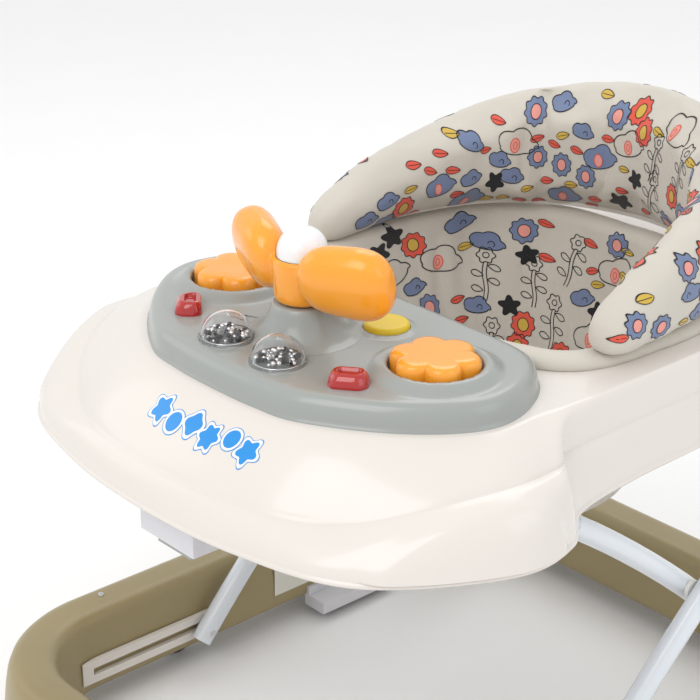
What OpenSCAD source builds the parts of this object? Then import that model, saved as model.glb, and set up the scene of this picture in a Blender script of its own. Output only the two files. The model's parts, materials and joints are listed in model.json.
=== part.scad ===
// Baby walker: a castor base, a folding scissor frame and a play tray with a fabric seat.
// Millimetres, +Z up. The walker faces -Y, and the origin is on the floor under its middle.

/* [Base] */
// Overall width of the base ring
base_w = 616; // [590:1:700]
// Overall length of the base ring
base_l = 700; // [660:1:780]
// Width of the ring seen from above
ring_w = 60; // [56:1:72]
// Height of the ring's lower edge over the floor
ring_z = 22; // [20:1:26]
// Height of the ring's top over the floor
ring_top = 100; // [94:1:110]
// Radius of the ring's inner corners
ring_inner_r = 75; // [65:1:80]
// Wall thickness of the ring
ring_wall = 3; // [2.5:0.5:5]

/* [Castors] */
// Diameter of a castor wheel
wheel_d = 32; // [28:1:34]
// Width of a castor wheel
wheel_w = 12; // [10:0.5:13]
// Distance from the swivel axis back to the axle
castor_trail = 7; // [5:0.5:8]
// Diameter of the swivel stem
stem_d = 8; // [6:0.5:9]
// Diameter of the axle
axle_d = 5; // [4:0.5:6]

/* [Scissor frame] */
// Outside diameter of the frame tubes
tube_d = 20; // [16:0.5:22]
// Wall thickness of the frame tubes
tube_wall = 1.2; // [1:0.1:2]
// Height of each leg's arc over its chord
leg_bow = 16.7; // [10:0.1:20]
// Radius of the bends at the top of each leg frame, to the tube's centre
bend_r = 40; // [30:1:45]
// Gap between the two legs where they cross
leg_gap = 4; // [3:0.5:6]
// Diameter of the hinge pins and rivets
pin_d = 7; // [6:0.5:8]
// Height of the lower pivots over the floor
pivot_z = 44; // [42:1:48]
// Distance of the leg pivots behind the middle of the base
pivot_y = 260; // [255:1:262]
// Height of the upper pivots over the floor, before the bends are drawn
top_pivot_z = 352; // [340:1:360]
// Place of the crossing along the walker
scissor_y = 81; // [76:1:86]
// Distance the lower front pivots slide forward in the rails when the frame folds
fold_travel = 124; // [110:1:126]

/* [Tray] */
// Height of the tray's lower lip over the floor
lip_z = 357; // [350:1:365]
// Height of the shelf that carries the play tray and of the seat rim
shelf_z = 436; // [425:1:445]
// Height of the play tray's deck
deck_z = 457; // [450:1:465]
// Wall thickness of the moulded tray
tray_wall = 3; // [2:0.5:4]
// Wall thickness of the play tray
deck_wall = 3; // [2:0.5:4]

/* [Toys] */
// Diameter of a flower button
flower_d = 73; // [60:1:74]
// Gap round a flower button in its hole
flower_gap = 1.5; // [1:0.25:2]
// Height of the flower buttons over the deck
flower_rise = 15; // [10:1:18]
// Diameter of the round button
round_d = 38.5; // [30:0.5:40]
// Height of the round button over the deck
round_rise = 6; // [4:0.5:10]
// Diameter of a bead dome
dome_d = 41; // [34:1:43]
// Diameter of the horn dome on the steering wheel
horn_d = 42; // [36:1:44]
// Travel of the buttons
button_travel = 3; // [2:0.5:4]

/* [Height adjuster] */
// Width of the adjuster housing
adjuster_w = 69; // [60:1:80]
// Height of the housing's underside over the floor
adjuster_z = 316; // [312:1:320]
// Travel of the release lever
release_travel = 8; // [5:1:10]

/* [Seat] */
// Height of the sling's bottom over the floor
seat_bottom_z = 222; // [215:1:240]
// Thickness of the sling
sling_t = 5; // [4:0.5:8]
// Diameter of a leg hole
leg_hole_d = 96; // [85:1:100]
// Thickness of the backrest pad
pad_t = 44; // [36:1:48]
// Height of the backrest's top over the floor at the middle of the back
pad_top = 588; // [560:1:600]

/* [Fits] */
// Radial clearance of a running fit
run_fit = 0.05; // [0.03:0.01:0.1]
// Gap between parts that slide past one another
slide_gap = 0.5; // [0.4:0.1:1]

/* [Hidden] */
$fn = 64;

// Base ring
inner_x = base_w / 2 - ring_w;
inner_y = base_l / 2 - ring_w;
outer_r = ring_inner_r + ring_w;
corner_x = inner_x - ring_inner_r;
corner_y = inner_y - ring_inner_r;
mid_r = ring_inner_r + ring_w / 2;

// Castors: two at the front, two at the sides and two on the rear corners
channel_x = base_w / 2 - ring_w / 2;
channel_y = base_l / 2 - ring_w / 2;
rear_castor_x = corner_x + mid_r * sin(9);
rear_castor_y = corner_y + mid_r * cos(9);
castor_places = [
    [130, -channel_y], [-130, -channel_y],
    [channel_x, -110], [-channel_x, -110],
    [rear_castor_x, rear_castor_y], [-rear_castor_x, rear_castor_y]
];
axle_z = wheel_d / 2;
fork_plate_z = wheel_d + 2;
fork_plate_t = 4;
fork_hub_top = 48;
fork_hub_r = 9;
cheek_t = 3;
cheek_gap = 1;
boss_bottom = fork_hub_top + slide_gap;
stem_top = ring_top - ring_wall - 10;

// Scissor frame, in the plane of Y and Z
rail_t = 5;
rear_leg_x = inner_x - rail_t - 1 - tube_d / 2;
front_leg_x = rear_leg_x - tube_d - leg_gap;
foot = [pivot_y, pivot_z];
head = [2 * scissor_y - pivot_y, top_pivot_z];
chord = norm(head - foot);
chord_dir = (head - foot) / chord;
chord_up = [chord_dir.y, -chord_dir.x];
leg_r = (chord * chord / 4 + leg_bow * leg_bow) / (2 * leg_bow);
leg_c = (foot + head) / 2 - chord_up * (leg_r - leg_bow);
foot_a = atan2(foot.y - leg_c.y, foot.x - leg_c.x);
head_a = atan2(head.y - leg_c.y, head.x - leg_c.x);
bend_a = head_a - bend_r / leg_r * 180 / PI;
end_past = 12;
end_a = foot_a - end_past / leg_r * 180 / PI;
bend_start = leg_c + leg_r * [cos(bend_a), sin(bend_a)];
bar = bend_start + bend_r * [-sin(bend_a), cos(bend_a)];
cross_z = leg_c.y + sqrt(leg_r * leg_r - (scissor_y - leg_c.x) * (scissor_y - leg_c.x));
bar_front_y = bar.x;
bar_rear_y = 2 * scissor_y - bar.x;
bar_z = bar.y;
slide_y = 2 * scissor_y - pivot_y;
bar_travel = 84;

// Outlines of the moulded tray: right half, from the front middle to the rear middle.
// They are drawn for a base this wide between its inner sides, and stretch with the room between the legs.
drawn_inner_x = 248;
leg_room = 40;
tray_stretch = (inner_x - leg_room) / (drawn_inner_x - leg_room);
lip_half = [
    [0, -332, lip_z], [105, -323, lip_z], [203, -289, lip_z], [267, -195, lip_z],
    [266, -130, lip_z], [234, -86, lip_z], [223, -10, lip_z], [218, 110, lip_z],
    [196, 225, lip_z], [118, 298, lip_z], [0, 316, lip_z]
];
brim_rise = 15;
crease_rise = 30;
side_rise = 46;
crease_half = [
    [0, -319, lip_z + crease_rise], [95, -308, lip_z + crease_rise], [168, -268, lip_z + crease_rise],
    [222, -185, lip_z + side_rise], [228, -125, lip_z + side_rise], [217, -84, lip_z + side_rise],
    [214, -10, lip_z + side_rise], [210, 110, lip_z + side_rise], [188, 218, lip_z + side_rise],
    [111, 286, lip_z + side_rise], [0, 304, lip_z + side_rise]
];
shelf_half = [
    [0, -262, shelf_z], [95, -250, shelf_z], [162, -207, shelf_z], [200, -150, shelf_z],
    [204, -98, shelf_z], [208, -60, shelf_z], [207, -10, shelf_z], [204, 110, shelf_z],
    [182, 212, shelf_z], [107, 277, shelf_z], [0, 294, shelf_z]
];
seat_edge_half = [
    [0, -42, shelf_z], [55, -42, shelf_z], [100, -38, shelf_z], [135, -26, shelf_z],
    [150, -12, shelf_z], [158, 5, shelf_z], [164, 40, shelf_z], [165, 110, shelf_z],
    [148, 185, shelf_z], [85, 232, shelf_z], [0, 240, shelf_z]
];
flange_drop = 28;
deck_half = [
    [0, -257], [50, -255], [93, -246], [157, -203], [195, -150], [189, -98], [150, -53], [70, -46], [0, -46]
];
ring_steps = 5;
rear_notch_y = 185;
rear_notch_z = 368;

// Places of the toys on the deck
flower_at = [124, -136];
round_at = [38, -108];
dome_at = [32, -217];
lamp_at = [100, -204];
wheel_at = [0, -164];
speaker_at = [60, -175];
battery_at = [-51, -80];
board_at = [30, -79.5];
screw_places = [[150, -185], [-150, -185], [100, -70], [-100, -70]];
boss_h = 3;
boss_w = 5;
under_deck = deck_z - deck_wall;
button_floor = shelf_z + 8;
column_top = deck_z + 28;
hub_bottom = column_top + slide_gap;
hub_top = hub_bottom + 38;
hub_r = 22.5;
spindle_r = 6;
spindle_bottom = shelf_z + 1;
spindle_top = hub_top - 6;

// Seat
seat_c = 98;
pad_bottom = shelf_z + 6;
pad_path = [
    [165, -5], [167, 60], [161, 122], [137, 188], [80, 240], [0, 260],
    [-80, 240], [-137, 188], [-161, 122], [-167, 60], [-165, -5]
];
pad_rise = [0.05, 0.38, 0.58, 0.77, 0.93, 1, 0.93, 0.77, 0.58, 0.38, 0.05];
pad_tip_top = pad_bottom + 26;

// Curves and lofts
function blend(a, b, c, d, t) =
    0.5 * (2 * b + (c - a) * t + (2 * a - 5 * b + 4 * c - d) * t * t + (3 * b - a - 3 * c + d) * t * t * t);
function closed_curve(p, steps) = [
    for (i = [0:len(p) - 1]) for (k = [0:steps - 1])
        blend(p[(i + len(p) - 1) % len(p)], p[i], p[(i + 1) % len(p)], p[(i + 2) % len(p)], k / steps)
];
function clamped(p, i) = p[max(0, min(len(p) - 1, i))];
function open_curve(p, steps) = concat(
    [for (i = [0:len(p) - 2]) for (k = [0:steps - 1])
        blend(clamped(p, i - 1), p[i], p[i + 1], clamped(p, i + 2), k / steps)],
    [p[len(p) - 1]]
);
function mirrored(half) = concat(
    half,
    [for (i = [len(half) - 2:-1:1])
        len(half[i]) == 3 ? [-half[i].x, half[i].y, half[i].z] : [-half[i].x, half[i].y]]
);
function ring_of(half) = closed_curve(mirrored(half), ring_steps);
function stretched(half) = [for (p = half) [p.x * tray_stretch, p.y, p.z]];
function side_step(ring, i) =
    let (a = ring[(i + len(ring) - 1) % len(ring)], b = ring[(i + 1) % len(ring)],
         l = norm([b.x - a.x, b.y - a.y]))
    [-(b.y - a.y) / l, (b.x - a.x) / l];
function moved_in(ring, d, dz) = [
    for (i = [0:len(ring) - 1])
        let (s = side_step(ring, i)) [ring[i].x + d * s.x, ring[i].y + d * s.y, ring[i].z + dz]
];
function ellipse_ring(a, b, z, count) = [
    for (i = [0:count - 1]) [a * sin(i * 360 / count), seat_c - b * cos(i * 360 / count), z]
];
function quad(a, b, c, d) = [[a, b, c], [a, c, d]];

// A closed band: rings that follow one another and join up again
module ring_loft(rings) {
    n = len(rings[0]);
    m = len(rings);
    points = [for (r = rings) for (p = r) p];
    faces = [
        for (i = [0:m - 1]) for (j = [0:n - 1])
            let (u = (i + 1) % m, v = (j + 1) % n)
            for (f = quad(i * n + j, u * n + j, u * n + v, i * n + v)) f
    ];
    polyhedron(points, faces);
}

// A closed skin over a row of loops with a flat cap at each end
module capped_loft(loops) {
    n = len(loops[0]);
    m = len(loops);
    points = [for (r = loops) for (p = r) p];
    sides = [
        for (i = [0:m - 2]) for (j = [0:n - 1])
            let (v = (j + 1) % n)
            for (f = quad(i * n + j, (i + 1) * n + j, (i + 1) * n + v, i * n + v)) f
    ];
    polyhedron(points, concat(sides, [[for (j = [0:n - 1]) j]], [[for (j = [n - 1:-1:0]) (m - 1) * n + j]]));
}

module rounded_rect(w, l, r) {
    square([w, l - 2 * r], center = true);
    square([w - 2 * r, l], center = true);
    for (x = [-1, 1], y = [-1, 1]) translate([x * (w / 2 - r), y * (l / 2 - r)]) circle(r, $fn = 96);
}

module inner_plan() {
    rounded_rect(2 * inner_x, 2 * inner_y, ring_inner_r);
}

module half_ball(r) intersection() {
    sphere(r);
    cylinder(h = r + 1, r = r + 1);
}

module bar_x(at, length, d) {
    translate(at) rotate([0, 90, 0]) cylinder(h = length, d = d, center = true);
}

module both_sides() {
    children();
    mirror([1, 0, 0]) children();
}

module slab(x0, x1, y0, y1, z0, z1) {
    translate([x0, y0, z0]) cube([x1 - x0, y1 - y0, z1 - z0]);
}

// ---- Base ----
module base_ring() color("#a08e6c") difference() {
    union() {
        difference() {
            translate([0, 0, ring_z]) linear_extrude(ring_top - ring_z) difference() {
                rounded_rect(base_w, base_l, outer_r);
                inner_plan();
            }
            translate([0, 0, ring_z - 1]) linear_extrude(ring_top - ring_wall - ring_z + 1) difference() {
                rounded_rect(base_w - 2 * ring_wall, base_l - 2 * ring_wall, outer_r - ring_wall);
                rounded_rect(2 * (inner_x + ring_wall), 2 * (inner_y + ring_wall), ring_inner_r + ring_wall);
            }
        }
        for (p = castor_places)
            translate([p.x, p.y, boss_bottom])
                cylinder(h = ring_top - ring_wall / 2 - boss_bottom, r = fork_hub_r);
    }
    for (p = castor_places)
        translate([p.x, p.y, boss_bottom - 1])
            cylinder(h = stem_top + 2 - boss_bottom, r = stem_d / 2 + run_fit);
}

block_half = 14;
ear_t = 6;
block_inner_x = front_leg_x - tube_d / 2 - slide_gap - ear_t;

block_bottom = ring_z + 2;
block_floor = pivot_z - norm([end_past, tube_d / 2]) - 0.4;

module hinge_blocks() color("#f2f0ea") both_sides() difference() {
    intersection() {
        slab(block_inner_x, inner_x, pivot_y - block_half, inner_y, block_bottom, pivot_z + block_half);
        linear_extrude(ring_top) inner_plan();
    }
    slab(front_leg_x - tube_d / 2 - slide_gap, front_leg_x + tube_d / 2 + slide_gap,
         pivot_y - block_half - 1, pivot_y + end_past + 6, block_floor, ring_top);
    bar_x([front_leg_x, pivot_y, pivot_z], 4 * tube_d, pin_d);
}

module base_hinge_pins() color("silver") both_sides()
    bar_x([(block_inner_x + front_leg_x + tube_d) / 2, pivot_y, pivot_z],
          front_leg_x + tube_d - block_inner_x, pin_d);

rail_half = 12;
slot_half = pin_d / 2 + 0.3;
rail_end = 16;

module slide_rails() color("#f2f0ea") both_sides() difference() {
    intersection() {
        slab(inner_x - rail_t, inner_x, slide_y - fold_travel - rail_end, slide_y + rail_end,
             pivot_z - rail_half, pivot_z + rail_half);
        linear_extrude(ring_top) inner_plan();
    }
    slab(inner_x - rail_t - 1, inner_x + 1, slide_y - fold_travel - slot_half, slide_y + slot_half,
         pivot_z - slot_half, pivot_z + slot_half);
}

stop_y = 45;
stop_l = 100;
stop_w = 30;
pad_under = 6;
stop_pad_t = 3;
stop_lip_h = 9;

module stop_blocks() color("#f2f0ea") both_sides() {
    slab(inner_x + ring_wall - stop_w, inner_x + ring_wall, stop_y, stop_y + stop_l,
        pad_under + stop_pad_t, ring_z);
    slab(inner_x - 4, inner_x, stop_y, stop_y + stop_l, ring_z - 1, ring_z + stop_lip_h);
}

module stop_pads() color("#4a4a48") both_sides()
    slab(inner_x + ring_wall - stop_w + 3, inner_x + ring_wall - 3, stop_y + 5, stop_y + stop_l - 5,
         pad_under, pad_under + stop_pad_t);

module base_label() color("#eeece4")
    slab(-inner_x, -inner_x + 0.4, 2, 100, ring_z + stop_lip_h + 5, ring_top - 12);

// ---- Castors ----
module castor_fork(i) color("#e9e7e1") translate([castor_places[i].x, castor_places[i].y, 0]) difference() {
    union() {
        translate([0, 0, fork_plate_z]) cylinder(h = fork_hub_top - fork_plate_z, r = fork_hub_r);
        translate([0, 0, fork_hub_top - 1]) cylinder(h = stem_top - fork_hub_top + 1, d = stem_d);
        slab(-wheel_w / 2 - cheek_gap - cheek_t, wheel_w / 2 + cheek_gap + cheek_t, -8, castor_trail + 9,
             fork_plate_z, fork_plate_z + fork_plate_t);
        for (s = [-1, 1]) translate([s * (wheel_w / 2 + cheek_gap + cheek_t / 2), 0, 0]) {
            translate([-cheek_t / 2, castor_trail - 6, axle_z])
                cube([cheek_t, 12, fork_plate_z - axle_z + 1]);
            translate([0, castor_trail, axle_z]) rotate([0, 90, 0])
                cylinder(h = cheek_t, r = 6, center = true);
        }
    }
    bar_x([0, castor_trail, axle_z], 3 * wheel_w, axle_d);
}

module castor_axle(i) color("silver")
    bar_x([castor_places[i].x, castor_places[i].y + castor_trail, axle_z],
          wheel_w + 2 * (cheek_gap + cheek_t), axle_d);

module castor_wheel(i) color("#3a3a3a")
    translate([castor_places[i].x, castor_places[i].y + castor_trail, axle_z]) rotate([0, 90, 0])
        rotate_extrude()
        polygon([
            [axle_d / 2 + run_fit, -wheel_w / 2], [wheel_d / 2 - 6, -wheel_w / 2],
            [wheel_d / 2 - 5, -wheel_w / 2 + 1],
            [wheel_d / 2 - 1.5, -wheel_w / 2 + 1], [wheel_d / 2, -wheel_w / 4], [wheel_d / 2, wheel_w / 4],
            [wheel_d / 2 - 1.5, wheel_w / 2 - 1], [wheel_d / 2 - 5, wheel_w / 2 - 1],
            [wheel_d / 2 - 6, wheel_w / 2],
            [axle_d / 2 + run_fit, wheel_w / 2]
        ]);

// ---- Scissor frame ----
weld_gap = 0.2;
weld_r = 0.3;
weld_l = 5;

// Legs, bends and bar of one frame, each shortened at the bends' ends
module leg_parts(leg_x, d, short) {
    leg_trim = short / leg_r * 180 / PI;
    bend_trim = short / bend_r * 180 / PI;
    both_sides() {
        translate([leg_x, leg_c.x, leg_c.y]) rotate([90, 0, 90]) rotate([0, 0, end_a])
            rotate_extrude(angle = bend_a - end_a - leg_trim, $fn = 720) translate([leg_r, 0])
                circle(d = d, $fn = 32);
        translate([leg_x - bend_r, bend_start.x, bend_start.y]) rotate([90 + bend_a, 0, 0])
            rotate([0, 0, bend_trim])
            rotate_extrude(angle = 90 - 2 * bend_trim) translate([bend_r, 0]) circle(d = d, $fn = 32);
    }
    bar_x([0, bar.x, bar.y], 2 * (leg_x - bend_r - short), d, $fn = 32);
}

// Weld beads that join the legs, bends and bar
module welds(leg_x) both_sides() {
    translate([leg_x, bend_start.x, bend_start.y]) rotate([180 + bend_a, 0, 0])
        cylinder(h = weld_l, r = tube_d / 2 + weld_r, center = true);
    bar_x([leg_x - bend_r, bar.x, bar.y], weld_l, tube_d + 2 * weld_r);
}

module leg_frame(leg_x, foot_hole, cross_hole) difference() {
    union() {
        leg_parts(leg_x, tube_d, weld_gap);
        welds(leg_x);
    }
    leg_parts(leg_x, tube_d - 2 * tube_wall, weld_l);
    both_sides() {
        bar_x([leg_x, pivot_y, pivot_z], 2 * tube_d, foot_hole);
        bar_x([leg_x, scissor_y, cross_z], 2 * tube_d, cross_hole);
    }
}

module turned_round() {
    translate([0, 2 * scissor_y, 0]) mirror([0, 1, 0]) children();
}

module front_leg_tube() color("#e4e8ef") leg_frame(front_leg_x, pin_d + 2 * run_fit, pin_d);

module rear_leg_tube() color("#e4e8ef") turned_round() leg_frame(rear_leg_x, pin_d, pin_d + 2 * run_fit);

rivet_head_t = 2.5;
rivet_in = front_leg_x - tube_d / 2 - 0.2;
rivet_out = rear_leg_x + tube_d / 2 + 0.2;

module scissor_rivets() color("silver") both_sides() translate([rivet_in, scissor_y, cross_z])
    rotate([0, 90, 0]) {
    cylinder(h = rivet_out - rivet_in, d = pin_d);
    translate([0, 0, -rivet_head_t]) cylinder(h = rivet_head_t, d = 2 * pin_d);
    translate([0, 0, rivet_out - rivet_in]) cylinder(h = rivet_head_t, d = 2 * pin_d);
}

module rivet_spacers() color("#d8d8d4") both_sides() difference() {
    bar_x([(front_leg_x + rear_leg_x) / 2, scissor_y, cross_z], leg_gap - 0.4, 2.4 * pin_d);
    bar_x([(front_leg_x + rear_leg_x) / 2, scissor_y, cross_z], 2 * leg_gap, pin_d);
}

slide_pin_in = rear_leg_x - tube_d / 2;
slide_pin_out = inner_x - 1.5;

module slide_pins() color("silver") both_sides()
    bar_x([(slide_pin_in + slide_pin_out) / 2, slide_y, pivot_z], slide_pin_out - slide_pin_in, pin_d);

// ---- Tray ----
lip_ring = ring_of(stretched(lip_half));
crease_ring = ring_of(stretched(crease_half));
shelf_ring = ring_of(stretched(shelf_half));
seat_edge_ring = ring_of(seat_edge_half);

module tray_body() color("#ece8e2") difference() {
    ring_loft([
        lip_ring,
        moved_in(lip_ring, 3, brim_rise),
        crease_ring,
        shelf_ring,
        seat_edge_ring,
        moved_in(seat_edge_ring, 0, -flange_drop),
        moved_in(seat_edge_ring, -tray_wall, -flange_drop),
        moved_in(seat_edge_ring, -tray_wall, -tray_wall),
        moved_in(shelf_ring, tray_wall, -tray_wall),
        moved_in(crease_ring, tray_wall, 0),
        moved_in(lip_ring, 3 + tray_wall, brim_rise),
        moved_in(lip_ring, tray_wall, 0)
    ]);
    slab(-base_w, base_w, rear_notch_y, base_l, 0, rear_notch_z);
    for (p = screw_places) translate([p.x, p.y, shelf_z - 10]) cylinder(h = 20, d = 4.6);
    slab(battery_at.x - 27, battery_at.x + 27, battery_at.y - 15, battery_at.y + 15, shelf_z - 10,
        shelf_z + 10);
}

deck_plan = closed_curve(mirrored(deck_half), ring_steps);

function shrunk(loop, d) = [for (i = [0:len(loop) - 1]) loop[i] + d * side_step(loop, i)];

module raised_ring(at, d, w, h) translate([at.x, at.y, deck_z - 1]) cylinder(h = h + 1, d = d + 2 * w);

module play_tray() color("#acb0ac") difference() {
    union() {
        difference() {
            translate([0, 0, shelf_z]) linear_extrude(deck_z - shelf_z) polygon(deck_plan);
            translate([0, 0, shelf_z - 1]) linear_extrude(under_deck - shelf_z + 1)
                polygon(shrunk(deck_plan, deck_wall));
        }
        both_sides() raised_ring(flower_at, flower_d + 2 * flower_gap, boss_w, boss_h);
        raised_ring(round_at, round_d + 1, 3, 2);
        for (p = screw_places) translate([p.x, p.y, shelf_z]) cylinder(h = deck_z - shelf_z - 1, d = 9);
        translate([wheel_at.x, wheel_at.y, shelf_z + 1])
            cylinder(h = deck_z - shelf_z - 1, r = spindle_r + 4);
    }
    both_sides() translate([flower_at.x, flower_at.y, shelf_z])
        cylinder(h = 40, d = flower_d + 2 * flower_gap);
    translate([round_at.x, round_at.y, shelf_z]) cylinder(h = 40, d = round_d + 1);
    translate([wheel_at.x, wheel_at.y, shelf_z - 1]) cylinder(h = 60, r = spindle_r);
    for (p = screw_places) translate([p.x, p.y, shelf_z - 1]) cylinder(h = 14, d = 3);
}

module tray_screws() color("silver") for (p = screw_places) translate([p.x, p.y, 0]) {
    translate([0, 0, shelf_z - tray_wall - 2]) cylinder(h = 2, d = 8);
    translate([0, 0, shelf_z - tray_wall - 1]) cylinder(h = tray_wall + 13, d = 3);
}

// ---- Steering ----
module steering_column() color("#b4b8b4") translate([wheel_at.x, wheel_at.y, 0]) difference() {
    translate([0, 0, deck_z]) cylinder(h = column_top - deck_z, r1 = 33, r2 = 25, $fn = 96);
    translate([0, 0, deck_z - 1]) cylinder(h = column_top - deck_z - 2, r1 = 30, r2 = 22, $fn = 96);
    translate([0, 0, deck_z]) cylinder(h = 60, r = spindle_r + 1);
}

module steering_spindle() color("#dcdcd8") translate([wheel_at.x, wheel_at.y, spindle_bottom])
    cylinder(h = spindle_top - spindle_bottom, r = spindle_r);

blade_x = 60;
blade_z = hub_bottom + 27;
blade_sweep = 30;
blade_pitch = 42;

module blade() translate([blade_x, wheel_at.y + 4, blade_z]) rotate([0, 0, blade_sweep])
    rotate([blade_pitch, 0, 0]) hull() {
    translate([-34, 0, 0]) sphere(r = 11, $fn = 32);
    translate([-2, 16, 0]) sphere(r = 12, $fn = 32);
    translate([-2, -16, 0]) sphere(r = 12, $fn = 32);
    translate([22, 0, 0]) sphere(r = 14, $fn = 32);
}

module steering_wheel() color("#ffac3c") difference() {
    union() {
        translate([wheel_at.x, wheel_at.y, hub_bottom]) cylinder(h = hub_top - hub_bottom, r = hub_r);
        both_sides() blade();
    }
    translate([wheel_at.x, wheel_at.y, hub_bottom - 30]) cylinder(h = 30, r = 60);
    translate([wheel_at.x, wheel_at.y, hub_bottom - 1])
        cylinder(h = spindle_top + 2 - hub_bottom, r = spindle_r + run_fit);
    translate([wheel_at.x, wheel_at.y, hub_top - 3]) cylinder(h = 60, r = horn_d / 2 + slide_gap);
}

horn_r = horn_d / 2;
horn_skirt = 3;

module horn_button() color("#f6f6f4") translate([wheel_at.x, wheel_at.y, hub_top]) difference() {
    union() {
        cylinder(h = horn_skirt, r = horn_r);
        translate([0, 0, horn_skirt]) half_ball(horn_r);
    }
    translate([0, 0, -1]) cylinder(h = horn_skirt + 1, r = horn_r - 2);
    translate([0, 0, horn_skirt - 0.5]) half_ball(horn_r - 2);
}

// ---- Toys ----
dome_r = dome_d / 2;
dome_wall = 1.5;

module bead_domes() color("#e8eef2", 0.4) both_sides() translate([dome_at.x, dome_at.y, deck_z])
    difference() {
    half_ball(dome_r);
    translate([0, 0, -0.01]) half_ball(dome_r - dome_wall);
}

bead_d = 5;

module dome_beads() color("#c8c8c8") both_sides() translate([dome_at.x, dome_at.y, deck_z]) {
    cylinder(h = 1, r = dome_r - dome_wall - 1);
    for (k = [0:5]) rotate([0, 0, 60 * k + 15]) translate([9.5, 0, bead_d / 2 + 0.9])
        sphere(d = bead_d, $fn = 24);
}

module lamps() color("#d02020") both_sides() translate([lamp_at.x, lamp_at.y, deck_z]) rotate([0, 0, 38])
    hull() {
        translate([-17, -12, 0]) cube([34, 24, 1]);
        translate([-11, -7, 0]) cube([22, 14, 11]);
    }

flower_petals = 6;

button_wall = 2.5;

module flower_button(side) color("#ffac3c") translate([side * flower_at.x, flower_at.y, 0]) {
    petal_r = flower_d / 2 * 0.36;
    petal_at = flower_d / 2 - petal_r - 0.6;
    difference() {
        union() {
            translate([0, 0, button_floor]) cylinder(h = deck_z - button_floor + 4, d = flower_d);
            for (k = [0:flower_petals - 1]) rotate([0, 0, 360 / flower_petals * k + 30])
                translate([petal_at, 0, deck_z + 3]) cylinder(h = flower_rise - 4, r = petal_r);
            translate([0, 0, deck_z + 3]) cylinder(h = flower_rise - 3, r = flower_d / 2 * 0.62);
        }
        translate([0, 0, button_floor - 1])
            cylinder(h = deck_z - button_floor + 3, d = flower_d - 2 * button_wall);
    }
}

module round_button() color("#ecd23c") translate([round_at.x, round_at.y, 0]) difference() {
    union() {
        translate([0, 0, button_floor]) cylinder(h = deck_z + round_rise - 2 - button_floor, d = round_d);
        translate([0, 0, deck_z + round_rise - 2]) cylinder(h = 2, d1 = round_d, d2 = round_d - 4, $fn = 64);
    }
    translate([0, 0, button_floor - 1])
        cylinder(h = deck_z + round_rise - 3 - button_floor, d = round_d - 2 * button_wall);
}

// A compression spring, drawn at the length it has when it is pushed right down
module coil(r, wire, length, turns) {
    steps = 12;
    sides = 6;
    rise = (length - wire) / turns;
    capped_loft([
        for (i = [0:turns * steps]) let (a = i * 360 / steps) [
            for (k = [0:sides - 1]) let (b = -k * 360 / sides, q = r + wire / 2 * cos(b))
                [q * cos(a), q * sin(a), wire / 2 + rise * i / steps + wire / 2 * sin(b)]
        ]
    ]);
}

module button_springs() color("silver") {
    both_sides() translate([flower_at.x, flower_at.y, shelf_z + 0.2])
        coil(12, 1, deck_z - shelf_z - button_travel - 0.6, 4);
    translate([round_at.x, round_at.y + 4, shelf_z + 0.2])
        coil(5, 0.8, deck_z - shelf_z - button_travel - 0.6, 5);
}

module circuit_board() color("#3c7850") difference() {
    translate([board_at.x, board_at.y, shelf_z + 0.8]) cube([100, 36, 1.6], center = true);
    translate([round_at.x, round_at.y + 4, shelf_z - 1]) cylinder(h = 10, r = 9);
    translate([screw_places[2].x, screw_places[2].y, shelf_z - 1]) cylinder(h = 10, r = 6);
}

module speaker() color("#404040") translate([speaker_at.x, speaker_at.y, under_deck - 6]) {
    cylinder(h = 4, d = 20);
    translate([0, 0, 3]) cylinder(h = 3, d = 32);
}

cell_d = 14.2;
box_half_x = 28;
box_half_y = 16;

module battery_box() color("#2e2e2e") translate([battery_at.x, battery_at.y, 0]) difference() {
    slab(-box_half_x, box_half_x, -box_half_y, box_half_y, shelf_z + 0.1, under_deck - 0.3);
    slab(-box_half_x + 1.2, box_half_x - 1.2, -box_half_y + 1.2, box_half_y - 1.2, shelf_z - 1,
        under_deck - 1.5);
}

module battery_cells() color("#b8b0a0") for (s = [-1, 1])
    bar_x([battery_at.x, battery_at.y + s * (cell_d / 2 + 0.2), shelf_z + 0.6 + cell_d / 2], 50, cell_d);

module battery_cover() color("#ece8e2") translate([battery_at.x, battery_at.y, 0])
    slab(-26.7, 26.7, -14.7, 14.7, shelf_z - tray_wall, shelf_z);

// ---- Height adjuster ----
adjuster_front = -307;
adjuster_back = bar_front_y + tube_d / 2 + 8;
adjuster_top = 385;
channel_gap = 1;
lever_y = adjuster_front + 7;
lever_l = 46;
lever_w = 43;

shell_t = 3;
spring_room = 25;
pillar_places = [-240, -125];
pillar_r = 8;
spring_z = adjuster_z + 5;
front_floor = adjuster_z + 10 + shell_t;
rear_floor = bar_z + tube_d / 2 + channel_gap + shell_t;
channel_front = bar_front_y - bar_travel - tube_d / 2 - channel_gap;

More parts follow.
